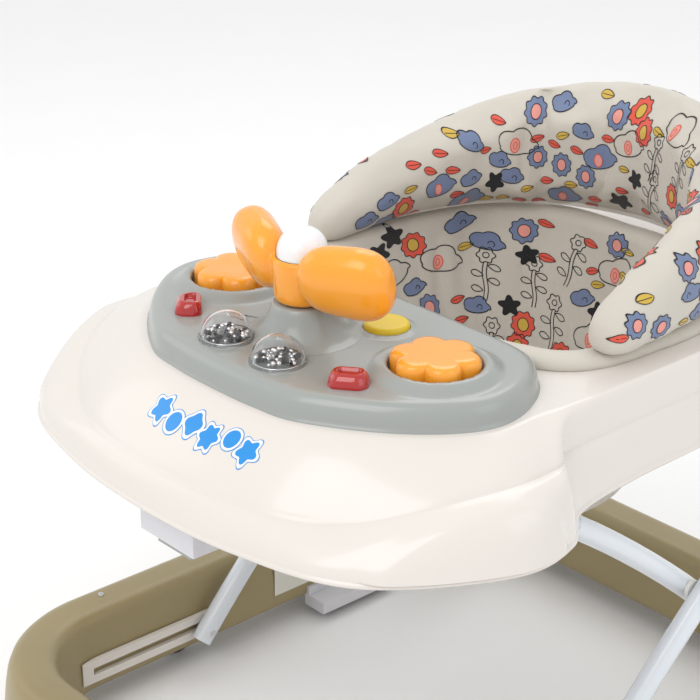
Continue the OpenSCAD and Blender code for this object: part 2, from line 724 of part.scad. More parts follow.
module adjuster_housing() color("#ece8e2") {
    difference() {
        slab(-adjuster_w / 2, adjuster_w / 2, adjuster_front, adjuster_back, adjuster_z, adjuster_top);
        slab(-adjuster_w, adjuster_w, channel_front, bar_front_y + tube_d / 2 + channel_gap,
             bar_z - tube_d / 2 - channel_gap, bar_z + tube_d / 2 + channel_gap);
        slab(-lever_w / 2 - slide_gap, lever_w / 2 + slide_gap, lever_y - slide_gap,
             lever_y + lever_l + spring_room, adjuster_z - 1, adjuster_z + 10);
        slab(-adjuster_w / 2 + shell_t, adjuster_w / 2 - shell_t,
             adjuster_front + shell_t, channel_front - shell_t,
             front_floor, adjuster_top + 1);
        slab(-adjuster_w / 2 + shell_t, adjuster_w / 2 - shell_t, channel_front, adjuster_back - shell_t,
             rear_floor, adjuster_top + 1);
    }
    translate([0, pillar_places[0], front_floor - 1])
        cylinder(h = shelf_z - tray_wall - front_floor + 1, r = pillar_r);
    translate([0, pillar_places[1], rear_floor - 1])
        cylinder(h = shelf_z - tray_wall - rear_floor + 1, r = pillar_r);
}

module release_lever() color("#d2d4d2") {
    slab(-lever_w / 2, lever_w / 2, lever_y, lever_y + lever_l, adjuster_z - 2, adjuster_z + 9.4);
    slab(-lever_w / 2, lever_w / 2, lever_y, lever_y + 8, adjuster_z - 9, adjuster_z);
}

module release_spring() color("silver")
    translate([0, lever_y + lever_l + spring_room - 0.2, spring_z]) rotate([90, 0, 0])
        coil(3.5, 0.8, spring_room - release_travel - 0.6, 8);

saddle_x = 45;
saddle_half = 14;

module rear_saddles() color("#f2f0ea") both_sides() difference() {
    slab(saddle_x - saddle_half, saddle_x + saddle_half,
         bar_rear_y - saddle_half, bar_rear_y + saddle_half - 1,
         bar_z, shelf_z - tray_wall);
    bar_x([saddle_x, bar_rear_y, bar_z], 4 * saddle_half, tube_d + 2 * run_fit);
}

module rear_saddle_caps() color("#f2f0ea") both_sides() difference() {
    slab(saddle_x - saddle_half, saddle_x + saddle_half,
         bar_rear_y - saddle_half, bar_rear_y + saddle_half - 1,
         bar_z - tube_d / 2 - 4, bar_z);
    bar_x([saddle_x, bar_rear_y, bar_z], 4 * saddle_half, tube_d + 2 * run_fit);
}

// ---- Seat ----
sling_count = 64;
sling_skin = [
    [58, 56, seat_bottom_z], [92, 84, seat_bottom_z + 16], [122, 110, 300], [148, 130, 375],
    [155, 135, shelf_z - 4], [158, 137, shelf_z + 0.6], [174, 139, shelf_z + 0.8], [174, 139, shelf_z + 4]
];
sling_inside = [
    [148, 130, shelf_z + 4], [142, 124, 376], [116, 104, 301], [86, 78, seat_bottom_z + 20],
    [54, 52, seat_bottom_z + sling_t]
];

module seat_sling() color("#d6d0c4") difference() {
    capped_loft([for (s = concat(sling_skin, sling_inside)) ellipse_ring(s[0], s[1], s[2], sling_count)]);
    both_sides() translate([62, seat_c, 290]) rotate([90, 0, 0]) cylinder(h = 200, d = leg_hole_d);
}

clip_places = [-25, 5];
clip_half = 8;
clip_outer = 164.5;
clip_t = 5;

module seat_clips() color("#f2f0ea") both_sides() for (y = clip_places)
    slab(clip_outer - clip_t, clip_outer, seat_c + y - clip_half, seat_c + y + clip_half,
         shelf_z - flange_drop + 2, shelf_z - 1);

pad_steps = 4;
section_count = 16;

squareness = 0.6;

function rounded(v) = sign(v) * pow(abs(v), squareness);
function path_side(p, i) =
    let (a = clamped(p, i - 1), b = clamped(p, i + 1), l = norm(b - a)) [(b.y - a.y) / l, -(b.x - a.x) / l];
function wall_sections(thick, bottom, below_top, from, to) =
    let (path = open_curve(pad_path, pad_steps), rise = open_curve(pad_rise, pad_steps))
    [for (i = [from:to])
        let (s = path_side(path, i), top = pad_tip_top + (pad_top - pad_tip_top) * rise[i] - below_top,
             mid = (top + bottom) / 2, half = (top - bottom) / 2)
        [for (k = [0:section_count - 1]) let (a = k * 360 / section_count, u = thick / 2 * rounded(cos(a)))
            [path[i].x + u * s.x, path[i].y + u * s.y, mid + half * rounded(sin(a))]]
    ];
last_section = (len(pad_path) - 1) * pad_steps;
board_t = 3;
board_from = 6;
board_bottom = pad_bottom + 8;
board_below = 14;

module flipped_loft(loops) capped_loft([for (i = [len(loops) - 1:-1:0]) loops[i]]);

module backrest_pad() color("#d6d0c4") difference() {
    flipped_loft(wall_sections(pad_t, pad_bottom, 0, 0, last_section));
    flipped_loft(wall_sections(board_t + 1, board_bottom - 0.5, board_below - 0.5, board_from - 1,
                               last_section - board_from + 1));
}

module backrest_board() color("#e6e6e2")
    flipped_loft(wall_sections(board_t, board_bottom, board_below, board_from, last_section - board_from));

base_ring();
hinge_blocks();
slide_rails();
base_hinge_pins();
stop_blocks();
stop_pads();
base_label();
front_leg_tube();
rear_leg_tube();
scissor_rivets();
rivet_spacers();
slide_pins();
tray_body();
play_tray();
steering_column();
steering_spindle();
steering_wheel();
horn_button();
bead_domes();
dome_beads();
lamps();
flower_button(1);  // left_flower_button
flower_button(-1);  // right_flower_button
round_button();
button_springs();
circuit_board();
speaker();
battery_box();
battery_cells();
battery_cover();
adjuster_housing();
release_lever();
release_spring();
rear_saddles();
rear_saddle_caps();
seat_sling();
seat_clips();
backrest_pad();
backrest_board();
tray_screws();
castor_fork(0);  // castor_fork_1
castor_fork(1);  // castor_fork_2
castor_fork(2);  // castor_fork_3
castor_fork(3);  // castor_fork_4
castor_fork(4);  // castor_fork_5
castor_fork(5);  // castor_fork_6
castor_axle(0);  // castor_axle_1
castor_axle(1);  // castor_axle_2
castor_axle(2);  // castor_axle_3
castor_axle(3);  // castor_axle_4
castor_axle(4);  // castor_axle_5
castor_axle(5);  // castor_axle_6
castor_wheel(0);  // castor_wheel_1
castor_wheel(1);  // castor_wheel_2
castor_wheel(2);  // castor_wheel_3
castor_wheel(3);  // castor_wheel_4
castor_wheel(4);  // castor_wheel_5
castor_wheel(5);  // castor_wheel_6
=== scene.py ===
"""Baby walker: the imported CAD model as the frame, with moulded plastic, toys and fabric built over it.
Outlines are in millimetres, in the CAD frame; every mesh is made in metres."""
import json
import random
from math import atan2, copysign, cos, exp, hypot, pi, radians, sin, sqrt

import bmesh
import bpy
from mathutils import Matrix, Vector, noise
from mathutils.bvhtree import BVHTree
from mathutils.geometry import delaunay_2d_cdt


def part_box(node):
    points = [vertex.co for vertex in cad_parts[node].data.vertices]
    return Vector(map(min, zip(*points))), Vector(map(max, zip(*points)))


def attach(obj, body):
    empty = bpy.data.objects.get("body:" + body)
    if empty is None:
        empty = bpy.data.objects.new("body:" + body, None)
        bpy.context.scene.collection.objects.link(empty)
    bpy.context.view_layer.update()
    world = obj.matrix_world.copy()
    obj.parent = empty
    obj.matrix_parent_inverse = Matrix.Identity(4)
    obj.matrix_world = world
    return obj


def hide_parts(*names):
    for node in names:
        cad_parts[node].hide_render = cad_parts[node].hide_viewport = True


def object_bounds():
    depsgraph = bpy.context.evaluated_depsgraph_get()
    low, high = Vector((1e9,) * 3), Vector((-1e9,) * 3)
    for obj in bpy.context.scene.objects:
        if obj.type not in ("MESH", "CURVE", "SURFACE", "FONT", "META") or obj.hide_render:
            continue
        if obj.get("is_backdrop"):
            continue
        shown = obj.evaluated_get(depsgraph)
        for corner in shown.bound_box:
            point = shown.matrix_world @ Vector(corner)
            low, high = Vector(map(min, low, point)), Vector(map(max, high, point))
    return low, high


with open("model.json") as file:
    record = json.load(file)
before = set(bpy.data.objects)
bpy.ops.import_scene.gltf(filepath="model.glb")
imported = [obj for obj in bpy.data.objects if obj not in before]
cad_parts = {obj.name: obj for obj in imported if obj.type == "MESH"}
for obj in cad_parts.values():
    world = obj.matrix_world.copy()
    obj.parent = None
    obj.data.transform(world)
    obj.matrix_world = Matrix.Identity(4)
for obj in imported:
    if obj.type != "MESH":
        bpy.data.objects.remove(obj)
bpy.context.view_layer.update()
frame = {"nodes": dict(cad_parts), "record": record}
MM = 0.001
scene = bpy.context.scene

# ---- Camera, lights and floor ----
CAMERA_AZIMUTH = radians(48.5)
CAMERA_ELEVATION = radians(23.5)
CAMERA_DISTANCE = 1.5375
CAMERA_TARGET = Vector((0.052, -0.160, 0.457))
CAMERA_LENS = 100.3
LIGHT_TARGET = Vector((0, -0.05, 0.35))
WORLD_STRENGTH = 0.90


def direction(azimuth, elevation):
    """Unit vector from the object towards a viewer; azimuth 0 looks along +Y."""
    return Vector((
        sin(azimuth) * cos(elevation),
        -cos(azimuth) * cos(elevation),
        sin(elevation),
    ))


def aim(obj, place, target):
    obj.location = place
    obj.rotation_euler = (Vector(target) - Vector(place)).to_track_quat("-Z", "Y").to_euler()


camera_data = bpy.data.cameras.new("camera")
camera_data.lens = CAMERA_LENS
camera_data.sensor_width = 36
camera = bpy.data.objects.new("camera", camera_data)
scene.collection.objects.link(camera)
camera_way = direction(CAMERA_AZIMUTH, CAMERA_ELEVATION)
aim(camera, CAMERA_TARGET + CAMERA_DISTANCE * camera_way, CAMERA_TARGET)
scene.camera = camera
scene.view_settings.view_transform = "Standard"


def area_light(name, azimuth, elevation, distance, width, height, power, tint=(1, 1, 1)):
    data = bpy.data.lights.new(name, "AREA")
    data.shape = "RECTANGLE"
    data.size = width
    data.size_y = height
    data.energy = power
    data.color = tint
    light = bpy.data.objects.new(name, data)
    scene.collection.objects.link(light)
    way = direction(radians(azimuth), radians(elevation))
    aim(light, LIGHT_TARGET + distance * way, LIGHT_TARGET)


area_light("key", 15, 48, 2.2, 1.1, 1.5, 13, (1, 0.985, 0.96))
area_light("fill", 105, 30, 2.4, 1.4, 1.4, 5, (0.96, 0.98, 1))
area_light("rim", 215, 50, 2.4, 1.2, 1.2, 8)
area_light("back_fill", 300, 25, 2.6, 1.4, 1.2, 4)

world = bpy.data.worlds.new("studio")
world.use_nodes = True
background = world.node_tree.nodes["Background"]
background.inputs["Color"].default_value = (1, 1, 1, 1)
background.inputs["Strength"].default_value = WORLD_STRENGTH
scene.world = world


# ---- Materials ----
def noise_of(tree, place, scale, detail):
    node = tree.nodes.new("ShaderNodeTexNoise")
    node.inputs["Scale"].default_value = scale
    node.inputs["Detail"].default_value = detail
    tree.links.new(place.outputs["Object"], node.inputs["Vector"])
    return node


def material(
    name, color, roughness, speckle=0.04, wear=0.08, bump=0.02, grain=420.0, bump_distance=0.0003,
    coat=0.0, metallic=0.0, transmission=0.0, subsurface=0.0, sheen=0.0, ior=1.47,
):
    """A principled finish with procedural colour drift, roughness wear and fine bump."""
    mat = bpy.data.materials.new(name)
    mat.use_nodes = True
    tree = mat.node_tree
    shader = tree.nodes["Principled BSDF"]
    constants = {
        "Metallic": metallic, "IOR": ior, "Transmission Weight": transmission,
        "Subsurface Weight": subsurface, "Subsurface Scale": 0.004,
        "Coat Weight": coat, "Coat Roughness": 0.08, "Sheen Weight": sheen,
    }
    for socket, value in constants.items():
        shader.inputs[socket].default_value = value
    place = tree.nodes.new("ShaderNodeTexCoord")
    drift = noise_of(tree, place, 9.0, 5.0)
    tint = tree.nodes.new("ShaderNodeValToRGB")
    tint.color_ramp.elements[0].position = 0.3
    tint.color_ramp.elements[1].position = 0.7
    tint.color_ramp.elements[0].color = (*[c * (1 - speckle) for c in color], 1)
    tint.color_ramp.elements[1].color = (*[min(1.0, c * (1 + speckle)) for c in color], 1)
    tree.links.new(drift.outputs["Fac"], tint.inputs["Fac"])
    tree.links.new(tint.outputs["Color"], shader.inputs["Base Color"])
    rub = noise_of(tree, place, 38.0, 6.0)
    worn = tree.nodes.new("ShaderNodeMapRange")
    worn.inputs["To Min"].default_value = max(0.02, roughness - wear)
    worn.inputs["To Max"].default_value = min(1.0, roughness + wear)
    tree.links.new(rub.outputs["Fac"], worn.inputs["Value"])
    tree.links.new(worn.outputs["Result"], shader.inputs["Roughness"])
    fine = noise_of(tree, place, grain, 3.0)
    relief = tree.nodes.new("ShaderNodeBump")
    relief.inputs["Strength"].default_value = bump
    relief.inputs["Distance"].default_value = bump_distance
    tree.links.new(fine.outputs["Fac"], relief.inputs["Height"])
    tree.links.new(relief.outputs["Normal"], shader.inputs["Normal"])
    return mat


FINISHES = {}


def add_finish(name, *values, **more):
    FINISHES[name] = material(name, *values, **more)


add_finish("white_plastic", (0.745, 0.70, 0.655), 0.24, 0.006, 0.03, 0.004, coat=0.25)
add_finish("box_white", (0.68, 0.675, 0.71), 0.32, 0.015, 0.06, 0.02)
add_finish("tan_plastic", (0.33, 0.265, 0.135), 0.36, 0.05, 0.08, 0.08, 300)
add_finish("tube_paint", (0.72, 0.76, 0.81), 0.22, 0.02, 0.06, 0.02, coat=0.5)
add_finish("steel", (0.62, 0.62, 0.63), 0.28, 0.05, 0.10, 0.05, metallic=1.0)
add_finish("rubber", (0.05, 0.05, 0.05), 0.75, 0.15, 0.10, 0.2)
add_finish("grey_plastic", (0.335, 0.355, 0.34), 0.25, 0.012, 0.04, 0.006, coat=0.25)
add_finish("orange_plastic", (0.95, 0.37, 0.028), 0.20, 0.012, 0.04, 0.006, coat=0.4, subsurface=0.12)
add_finish("yellow_plastic", (0.78, 0.57, 0.025), 0.30, 0.02, 0.06, 0.02)
add_finish("red_plastic", (0.62, 0.006, 0.004), 0.06, 0.04, 0.03, 0.01, coat=1.0, transmission=0.35)
add_finish("clear_plastic", (0.97, 0.98, 1.0), 0.03, 0.005, 0.015, 0.004, transmission=1.0, ior=1.42)
add_finish("white_dome", (0.86, 0.85, 0.87), 0.24, 0.01, 0.05, 0.01, coat=0.4, subsurface=0.45)
add_finish("silver_bits", (0.72, 0.72, 0.72), 0.16, 0.2, 0.08, 0.3, 900, metallic=1.0)
add_finish("castor_plastic", (0.77, 0.76, 0.72), 0.38, 0.02, 0.08, 0.04)
add_finish("wheel_plastic", (0.045, 0.045, 0.048), 0.55, 0.1, 0.12, 0.15)
add_finish("black_plastic", (0.03, 0.03, 0.03), 0.45, 0.1, 0.1, 0.1)
add_finish("board_green", (0.03, 0.17, 0.07), 0.4, 0.15, 0.1, 0.1)
add_finish("cell_wrap", (0.42, 0.38, 0.30), 0.3, 0.1, 0.1, 0.05, metallic=0.6)
add_finish("label", (0.72, 0.70, 0.63), 0.6, 0.06, 0.1, 0.1, 160)


def fabric_material(name, color):
    return material(name, color, 0.86, 0.035, 0.06, 0.35, 1500, 0.0004, sheen=0.25)


FINISHES["fabric"] = fabric_material("fabric", (0.60, 0.565, 0.50))
INK_COLORS = {
    "ink": (0.012, 0.012, 0.014), "slate": (0.17, 0.22, 0.36), "coral": (0.72, 0.10, 0.065),
    "mustard": (0.62, 0.42, 0.07), "pink": (0.80, 0.33, 0.28),
}
INKS = {name: fabric_material(name, color) for name, color in INK_COLORS.items()}
DECAL = {
    "decal_blue": material("decal_blue", (0.01, 0.27, 0.72), 0.3, 0.02, 0.05, 0.02, coat=0.3),
    "decal_white": material("decal_white", (0.86, 0.86, 0.86), 0.3, 0.01, 0.05, 0.02, coat=0.3),
}
GLOSS_BLACK = material("print_black", (0.02, 0.02, 0.02), 0.4, 0.05, 0.05, 0.02)


# ---- Mesh helpers ----
def make(name, verts, faces, finish, body, slot=None, replaces=(), sharp=None, materials=None):
    """A mesh from points in mm, riding on a body."""
    mesh = bpy.data.meshes.new(name)
    mesh.from_pydata([Vector(v) * MM for v in verts], [], faces)
    mesh.validate()
    mesh.update()
    obj = bpy.data.objects.new(name, mesh)
    scene.collection.objects.link(obj)
    for mat in materials or [FINISHES[finish]]:
        mesh.materials.append(mat)
    mesh.shade_smooth()
    if sharp:
        mesh.set_sharp_from_angle(angle=radians(sharp))
    if body:
        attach(obj, body)
    if replaces:
        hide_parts(*replaces)
    return obj


def modifier(obj, kind, **values):
    mod = obj.modifiers.new(kind.lower(), kind)
    for key, value in values.items():
        setattr(mod, key, value)
    return mod


def baked(obj):
    """Applies the modifiers by swapping in the evaluated mesh."""
    graph = bpy.context.evaluated_depsgraph_get()
    mesh = bpy.data.meshes.new_from_object(obj.evaluated_get(graph), depsgraph=graph)
    mats = list(obj.data.materials)
    obj.modifiers.clear()
    obj.data = mesh
    if not mesh.materials:
        for mat in mats:
            mesh.materials.append(mat)
    return obj


def orient(obj):
    """Makes the faces of a closed mesh point outwards."""
    bm = bmesh.new()
    bm.from_mesh(obj.data)
    bmesh.ops.remove_doubles(bm, verts=bm.verts, dist=1e-6)
    bmesh.ops.recalc_face_normals(bm, faces=bm.faces)
    bm.to_mesh(obj.data)
    bm.free()
    return obj


def sharpened(obj, angle):
    obj.data.shade_smooth()
    obj.data.set_sharp_from_angle(angle=radians(angle))


def turns(n):
    """n equal steps round a full turn, in radians."""
    return [2 * pi * k / n for k in range(n)]


def spline(points, steps, closed=True):
    """Catmull-Rom curve through the points."""
    n = len(points)
    pts = [Vector(p) for p in points]
    out = []
    for i in range(n if closed else n - 1):
        if closed:
            a, b, c, d = (pts[(i + k) % n] for k in (-1, 0, 1, 2))
        else:
            a, b, c, d = (pts[min(n - 1, max(0, i + k))] for k in (-1, 0, 1, 2))
        for k in range(steps):
            t = k / steps
            square, cube = 2 * a - 5 * b + 4 * c - d, 3 * b - a - 3 * c + d
            out.append(0.5 * (2 * b + (c - a) * t + square * t * t + cube * t**3))
    if not closed:
        out.append(pts[-1])
    return out


def mirrored(half):
    return list(half) + [(-p[0], *p[1:]) for p in reversed(half[1:-1])]


def inward(ring):
    """Unit plan normals that point into a ring that runs from the front round +X."""
    n = len(ring)
    out = []
    for i in range(n):
        d = ring[(i + 1) % n] - ring[i - 1]
        out.append(Vector((-d.y, d.x, 0)).normalized())
    return out


def skin(rows, closed_rows=False, cap_first=False, cap_last=False):
    """Points and faces of a skin over rows of equal rings."""
    n = len(rows[0])
    verts = [v for row in rows for v in row]
    faces = []
    for i in range(len(rows) if closed_rows else len(rows) - 1):
        a, b = i * n, ((i + 1) % len(rows)) * n
        for j in range(n):
            k = (j + 1) % n
            faces.append((a + j, a + k, b + k, b + j))
    if cap_first:
        faces.append(tuple(reversed(range(n))))
    if cap_last:
        faces.append(tuple((len(rows) - 1) * n + j for j in range(n)))
    return verts, faces


def lathe(profile, at=(0, 0), segments=96):
    """A turned form from (radius, z) points; radius 0 closes with a single point."""
    verts, faces, rows = [], [], []
    for r, z in profile:
        if r < 1e-6:
            rows.append([len(verts)])
            verts.append((at[0], at[1], z))
        else:
            rows.append(list(range(len(verts), len(verts) + segments)))
            verts += [(at[0] + r * cos(a), at[1] + r * sin(a), z) for a in turns(segments)]
    for a, b in zip(rows, rows[1:]):
        if len(a) == len(b) == 1:
            continue
        for k in range(segments):
            m = (k + 1) % segments
            if len(a) == 1:
                faces.append((a[0], b[m], b[k]))
            elif len(b) == 1:
                faces.append((a[k], a[m], b[0]))
            else:
                faces.append((a[k], a[m], b[m], b[k]))
    return verts, faces


def joined(*parts):
    verts, faces = [], []
    for v, f in parts:
        base = len(verts)
        verts += list(v)
        faces += [tuple(base + i for i in face) for face in f]
    return verts, faces


def arc(cx, cz, r, start, end, steps):
    return [
        (cx + r * cos(radians(start + (end - start) * k / steps)),
         cz + r * sin(radians(start + (end - start) * k / steps)))
        for k in range(steps + 1)
    ]


def smoothstep(a, b, x):
    t = min(1.0, max(0.0, (x - a) / (b - a)))
    return t * t * (3 - 2 * t)


def bump_at(distance, width):
    return exp(-(distance / width) ** 2)


def mm_box(node):
    low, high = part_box(node)
    return low / MM, high / MM


# ---- Base ring ----
ring_low, ring_high = mm_box("base_ring")
RING_CORNER = 135
LONG_GAP = 60
STEM_IN = 9
BOSS_FOOT = 48.5
SCREW_IN = 30
corner_x, corner_y = ring_high.x - RING_CORNER, ring_high.y - RING_CORNER
castor_places = []
for i in range(1, 7):
    low, high = mm_box(f"castor_fork_{i}")
    castor_places.append(((low.x + high.x) / 2, low.y + STEM_IN))


def ring_path(inset, z, steps=28, straight=14):
    """The ring's outline, inset from its outer edge, with extra points along its straights."""
    r = RING_CORNER - inset
    out = []
    for start, sx, sy in ((-90, 1, -1), (0, 1, 1), (90, -1, 1), (180, -1, -1)):
        cx, cy = sx * corner_x, sy * corner_y
        for k in range(steps + 1):
            a = radians(start + 90 * k / steps)
            out.append(Vector((cx + r * cos(a), cy + r * sin(a), z)))
    full = []
    n = len(out)
    for i in range(n):
        full.append(out[i])
        gap = (out[(i + 1) % n] - out[i]).length
        if gap > LONG_GAP:
            for k in range(1, straight):
                full.append(out[i].lerp(out[(i + 1) % n], k / straight))
    return full


z0, z1 = ring_low.z, ring_high.z
outer_side = [
    (3, z0), (0.8, z0), (0, z0 + 1.5), (0, z0 + 4), (1, z0 + 6), (2.4, z0 + 7), (4, z0 + 24), (7, z0 + 50),
]
top_side = [
    (9.5, z1 - 14), (12.5, z1 - 6.5), (17, z1 - 2), (23, z1), (31, z1 - 0.6), (40, z1), (47, z1 - 0.8),
]
inner_side = [
    (52, z1 - 3.2), (55.4, z1 - 8), (57, z1 - 15), (59.2, z0 + 30), (60, z0 + 6), (60, z0 + 1), (59, z0),
]
under = [
    (57, z0), (56.6, z0 + 8), (54, z1 - 17), (50, z1 - 6), (44, z1 - 3.4), (24, z1 - 3.4),
    (17, z1 - 6), (12, z1 - 17), (7, z0 + 24),
]
ring_rows = [ring_path(inset, z) for inset, z in outer_side + top_side + inner_side + under]
ring_mesh = skin(ring_rows, closed_rows=True)
boss = [(4.2, BOSS_FOOT), (8.6, BOSS_FOOT), (9, BOSS_FOOT + 0.6), (9.4, z1 - 4), (12, z1 - 3)]
bosses = [lathe(boss, place, 40) for place in castor_places]
make("base_shell", *joined(ring_mesh, *bosses), "tan_plastic", "base", replaces=("base_ring",), sharp=50)

# Small heads of the screws in the top of the ring
head = [(0, z1 + 0.4), (1.0, z1 + 0.4), (1.1, z1 + 1.0), (2.6, z1 + 1.2), (3.0, z1 + 0.6), (3.1, z1 - 1.2)]
screw_places = [(x, y) for x in (ring_high.x - SCREW_IN, ring_low.x + SCREW_IN) for y in (-190, 60)]
for k, place in enumerate(screw_places):
    make(f"ring_screw_{k + 1}", *lathe(head, place, 24), "steel", "base", sharp=40)

# ---- Tray shell ----
tray_low, tray_high = mm_box("tray_body")
lip_z, shelf_z = tray_low.z, tray_high.z
deck_z = shelf_z + 21
front_crease, side_crease = lip_z + 30, lip_z + 46
lip_half = [
    (0, -332), (105, -323), (203, -289), (267, -195), (266, -130), (234, -86),
    (223, -10), (218, 110), (196, 225), (118, 298), (0, 316),
]
crease_half = [
    (0, -319, front_crease), (95, -308, front_crease), (168, -268, front_crease),
    (222, -185, side_crease), (228, -125, side_crease), (217, -84, side_crease),
    (214, -10, side_crease), (210, 110, side_crease), (188, 218, side_crease),
    (111, 286, side_crease), (0, 304, side_crease),
]
shelf_half = [
    (0, -262), (95, -250), (162, -207), (200, -150), (204, -98), (208, -60),
    (207, -10), (204, 110), (182, 212), (107, 277), (0, 294),
]
seat_edge_half = [
    (0, -42), (55, -42), (100, -38), (135, -26), (150, -12), (158, 5),
    (164, 40), (165, 110), (148, 185), (85, 232), (0, 240),
]
STEPS = 26
REAR_LIP_RISE = 11
FENDER_STAND = 4.5
SHOULDER_OUT = 13.0
SHOULDER_UP = 7.0
FENDER_MIDDLE, FENDER_REACH, FENDER_TOP = 2.95, 0.95, 0.86
WALL_ROWS, SLOPE_ROWS = 26, 20
lip_ring = spline(mirrored([(x, y, lip_z) for x, y in lip_half]), STEPS)
crease_ring = spline(mirrored(crease_half), STEPS)
shelf_ring = spline(mirrored([(x, y, shelf_z) for x, y in shelf_half]), STEPS)
seat_ring = spline(mirrored([(x, y, shelf_z) for x, y in seat_edge_half]), STEPS)
into = inward(lip_ring)
seat_into = inward(seat_ring)
for i, p in enumerate(lip_ring):
    p.z += REAR_LIP_RISE * smoothstep(170, 200, p.y)


def bezier(a, b, c, t):
    return a * (1 - t) ** 2 + b * 2 * t * (1 - t) + c * t * t


def place_in_half(index):
    """Where a ring point lies in lip_half, as a fractional index, on either side of the tray."""
    u = index / STEPS
    last = len(lip_half) - 1
    return 2 * last - u if u > last else u


def fender(index, v):
    """How far the wheel-arch swelling at each front corner stands out, in mm."""
    along = (place_in_half(index) - FENDER_MIDDLE) / FENDER_REACH
    up = v / FENDER_TOP
    inside = 1 - sqrt(along * along + up * up)
    return FENDER_STAND * smoothstep(-0.02, 0.22, inside)


def shoulder(index):
    """0 to 1: how near a ring point is to the shoulder over a front corner."""
    u = place_in_half(index)
    return smoothstep(1.6, 2.7, u) * (1 - smoothstep(4.0, 5.0, u))


for i, (p, n) in enumerate(zip(crease_ring, into)):
    p -= n * SHOULDER_OUT * shoulder(i)
    p.z += SHOULDER_UP * shoulder(i)


def wall_row(v):
    row = []
    for i, (low, high, n) in enumerate(zip(lip_ring, crease_ring, into)):
        foot = Vector((low.x, low.y, low.z + 5.2))
        rise = high.z - foot.z
        near = shoulder(i)
        bulge = Vector((foot.x, foot.y, foot.z + (0.60 + 0.42 * near) * rise))
        bulge += n * (2.5 + 2 * near)
        p = bezier(foot, bulge, high, v)
        row.append(p - n * (fender(i, v) * (1 - v) ** 0.4) + n * 0.8 * bump_at(v - 1, 0.05))
    return row


def slope_row(w):
    row = []
    for i, (low, high, n) in enumerate(zip(crease_ring, shelf_ring, into)):
        run = Vector((high.x - low.x, high.y - low.y, 0))
        broad = smoothstep(12, 48, run.length)
        steep = Vector((low.x, low.y, high.z)) + run * 0.25
        gentle = Vector((low.x, low.y, low.z + 0.66 * (high.z - low.z))) + run * 0.42
        p = bezier(low, steep.lerp(gentle, broad), high, w)
        row.append(p + n * 0.8 * bump_at(w, 0.04) * broad)
    return row


def lip_row(out, up):
    return [p - n * out + Vector((0, 0, up)) for p, n in zip(lip_ring, into)]


def rim_row(out, drop):
    return [p - n * out - Vector((0, 0, drop)) for p, n in zip(seat_ring, seat_into)]


hem_rows = (
    (-2.6, 1.6), (-1.6, 0.3), (0, 0), (1.3, 0.5), (2.0, 1.6), (2.0, 2.8), (1.2, 3.9), (0.2, 4.6),
)
seat_rim = ((3.6, 0.5), (1.2, 2.0), (0.2, 4.5), (0, 9), (0, 28))
shell_rows = [lip_row(o, u) for o, u in hem_rows]
shell_rows += [wall_row(k / WALL_ROWS) for k in range(WALL_ROWS + 1)]
shell_rows += [slope_row(k / SLOPE_ROWS) for k in range(1, SLOPE_ROWS + 1)]
for t in (0.06, 0.2, 0.4, 0.6, 0.8, 1.0):
    shell_rows.append([a.lerp(b, t) for a, b in zip(shelf_ring, rim_row(7, 0))])
shell_rows += [rim_row(o, d) for o, d in seat_rim]
shell = make("tray_shell", *skin(shell_rows), "white_plastic", None)
modifier(shell, "SOLIDIFY", thickness=0.0024, offset=-1.0)
baked(shell)
orient(shell)
sharpened(shell, 55)
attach(shell, "tray")
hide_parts("tray_body")

# ---- Play deck ----
deck_half = [
    (0, -257), (50, -255), (93, -246), (157, -203), (195, -150), (189, -98), (150, -53), (70, -46),
    (0, -46),
]
FLOWER_AT = (124, -136)
ROUND_AT = (38, -108)
DOME_AT = (32, -217)
LAMP_AT = (100, -204)
WHEEL_AT = (0, -164)
FLOWER_WELL = 38.0
ROUND_WELL = 19.8
deck_ring = spline(mirrored([(x, y, shelf_z) for x, y in deck_half]), 14)
deck_into = inward(deck_ring)


def inset_ring(inset, z):
    return [Vector((p.x, p.y, z)) + n * inset for p, n in zip(deck_ring, deck_into)]


def inside(point, ring):
    hit = False
    for a, b in zip(ring, ring[1:] + ring[:1]):
        if (a[1] > point[1]) != (b[1] > point[1]):
            if point[0] < (b[0] - a[0]) * (point[1] - a[1]) / (b[1] - a[1]) + a[0]:
                hit = not hit
    return hit


def circle(at, r, n=72):
    return [(at[0] + r * cos(a), at[1] + r * sin(a)) for a in turns(n)]


def deck_height(x, y):
    """How far the rims round the toys stand above the deck, in mm."""
    h = 0.0
    for side in (-1, 1):
        r = hypot(x - side * FLOWER_AT[0], y - FLOWER_AT[1])
        h = max(h, 7.5 * (1 - smoothstep(41.5, 56, r)) * smoothstep(33, 40, r))
        r = hypot(x - side * DOME_AT[0], y - DOME_AT[1])
        h = max(h, 1.2 * (1 - smoothstep(22, 24, r)))
    r = hypot(x - ROUND_AT[0], y - ROUND_AT[1])
    h = max(h, 1.6 * (1 - smoothstep(22, 25, r)))
    r = hypot(x - WHEEL_AT[0], y - WHEEL_AT[1])
    return h + 7.0 * (1 - smoothstep(28, 50, r)) ** 1.5


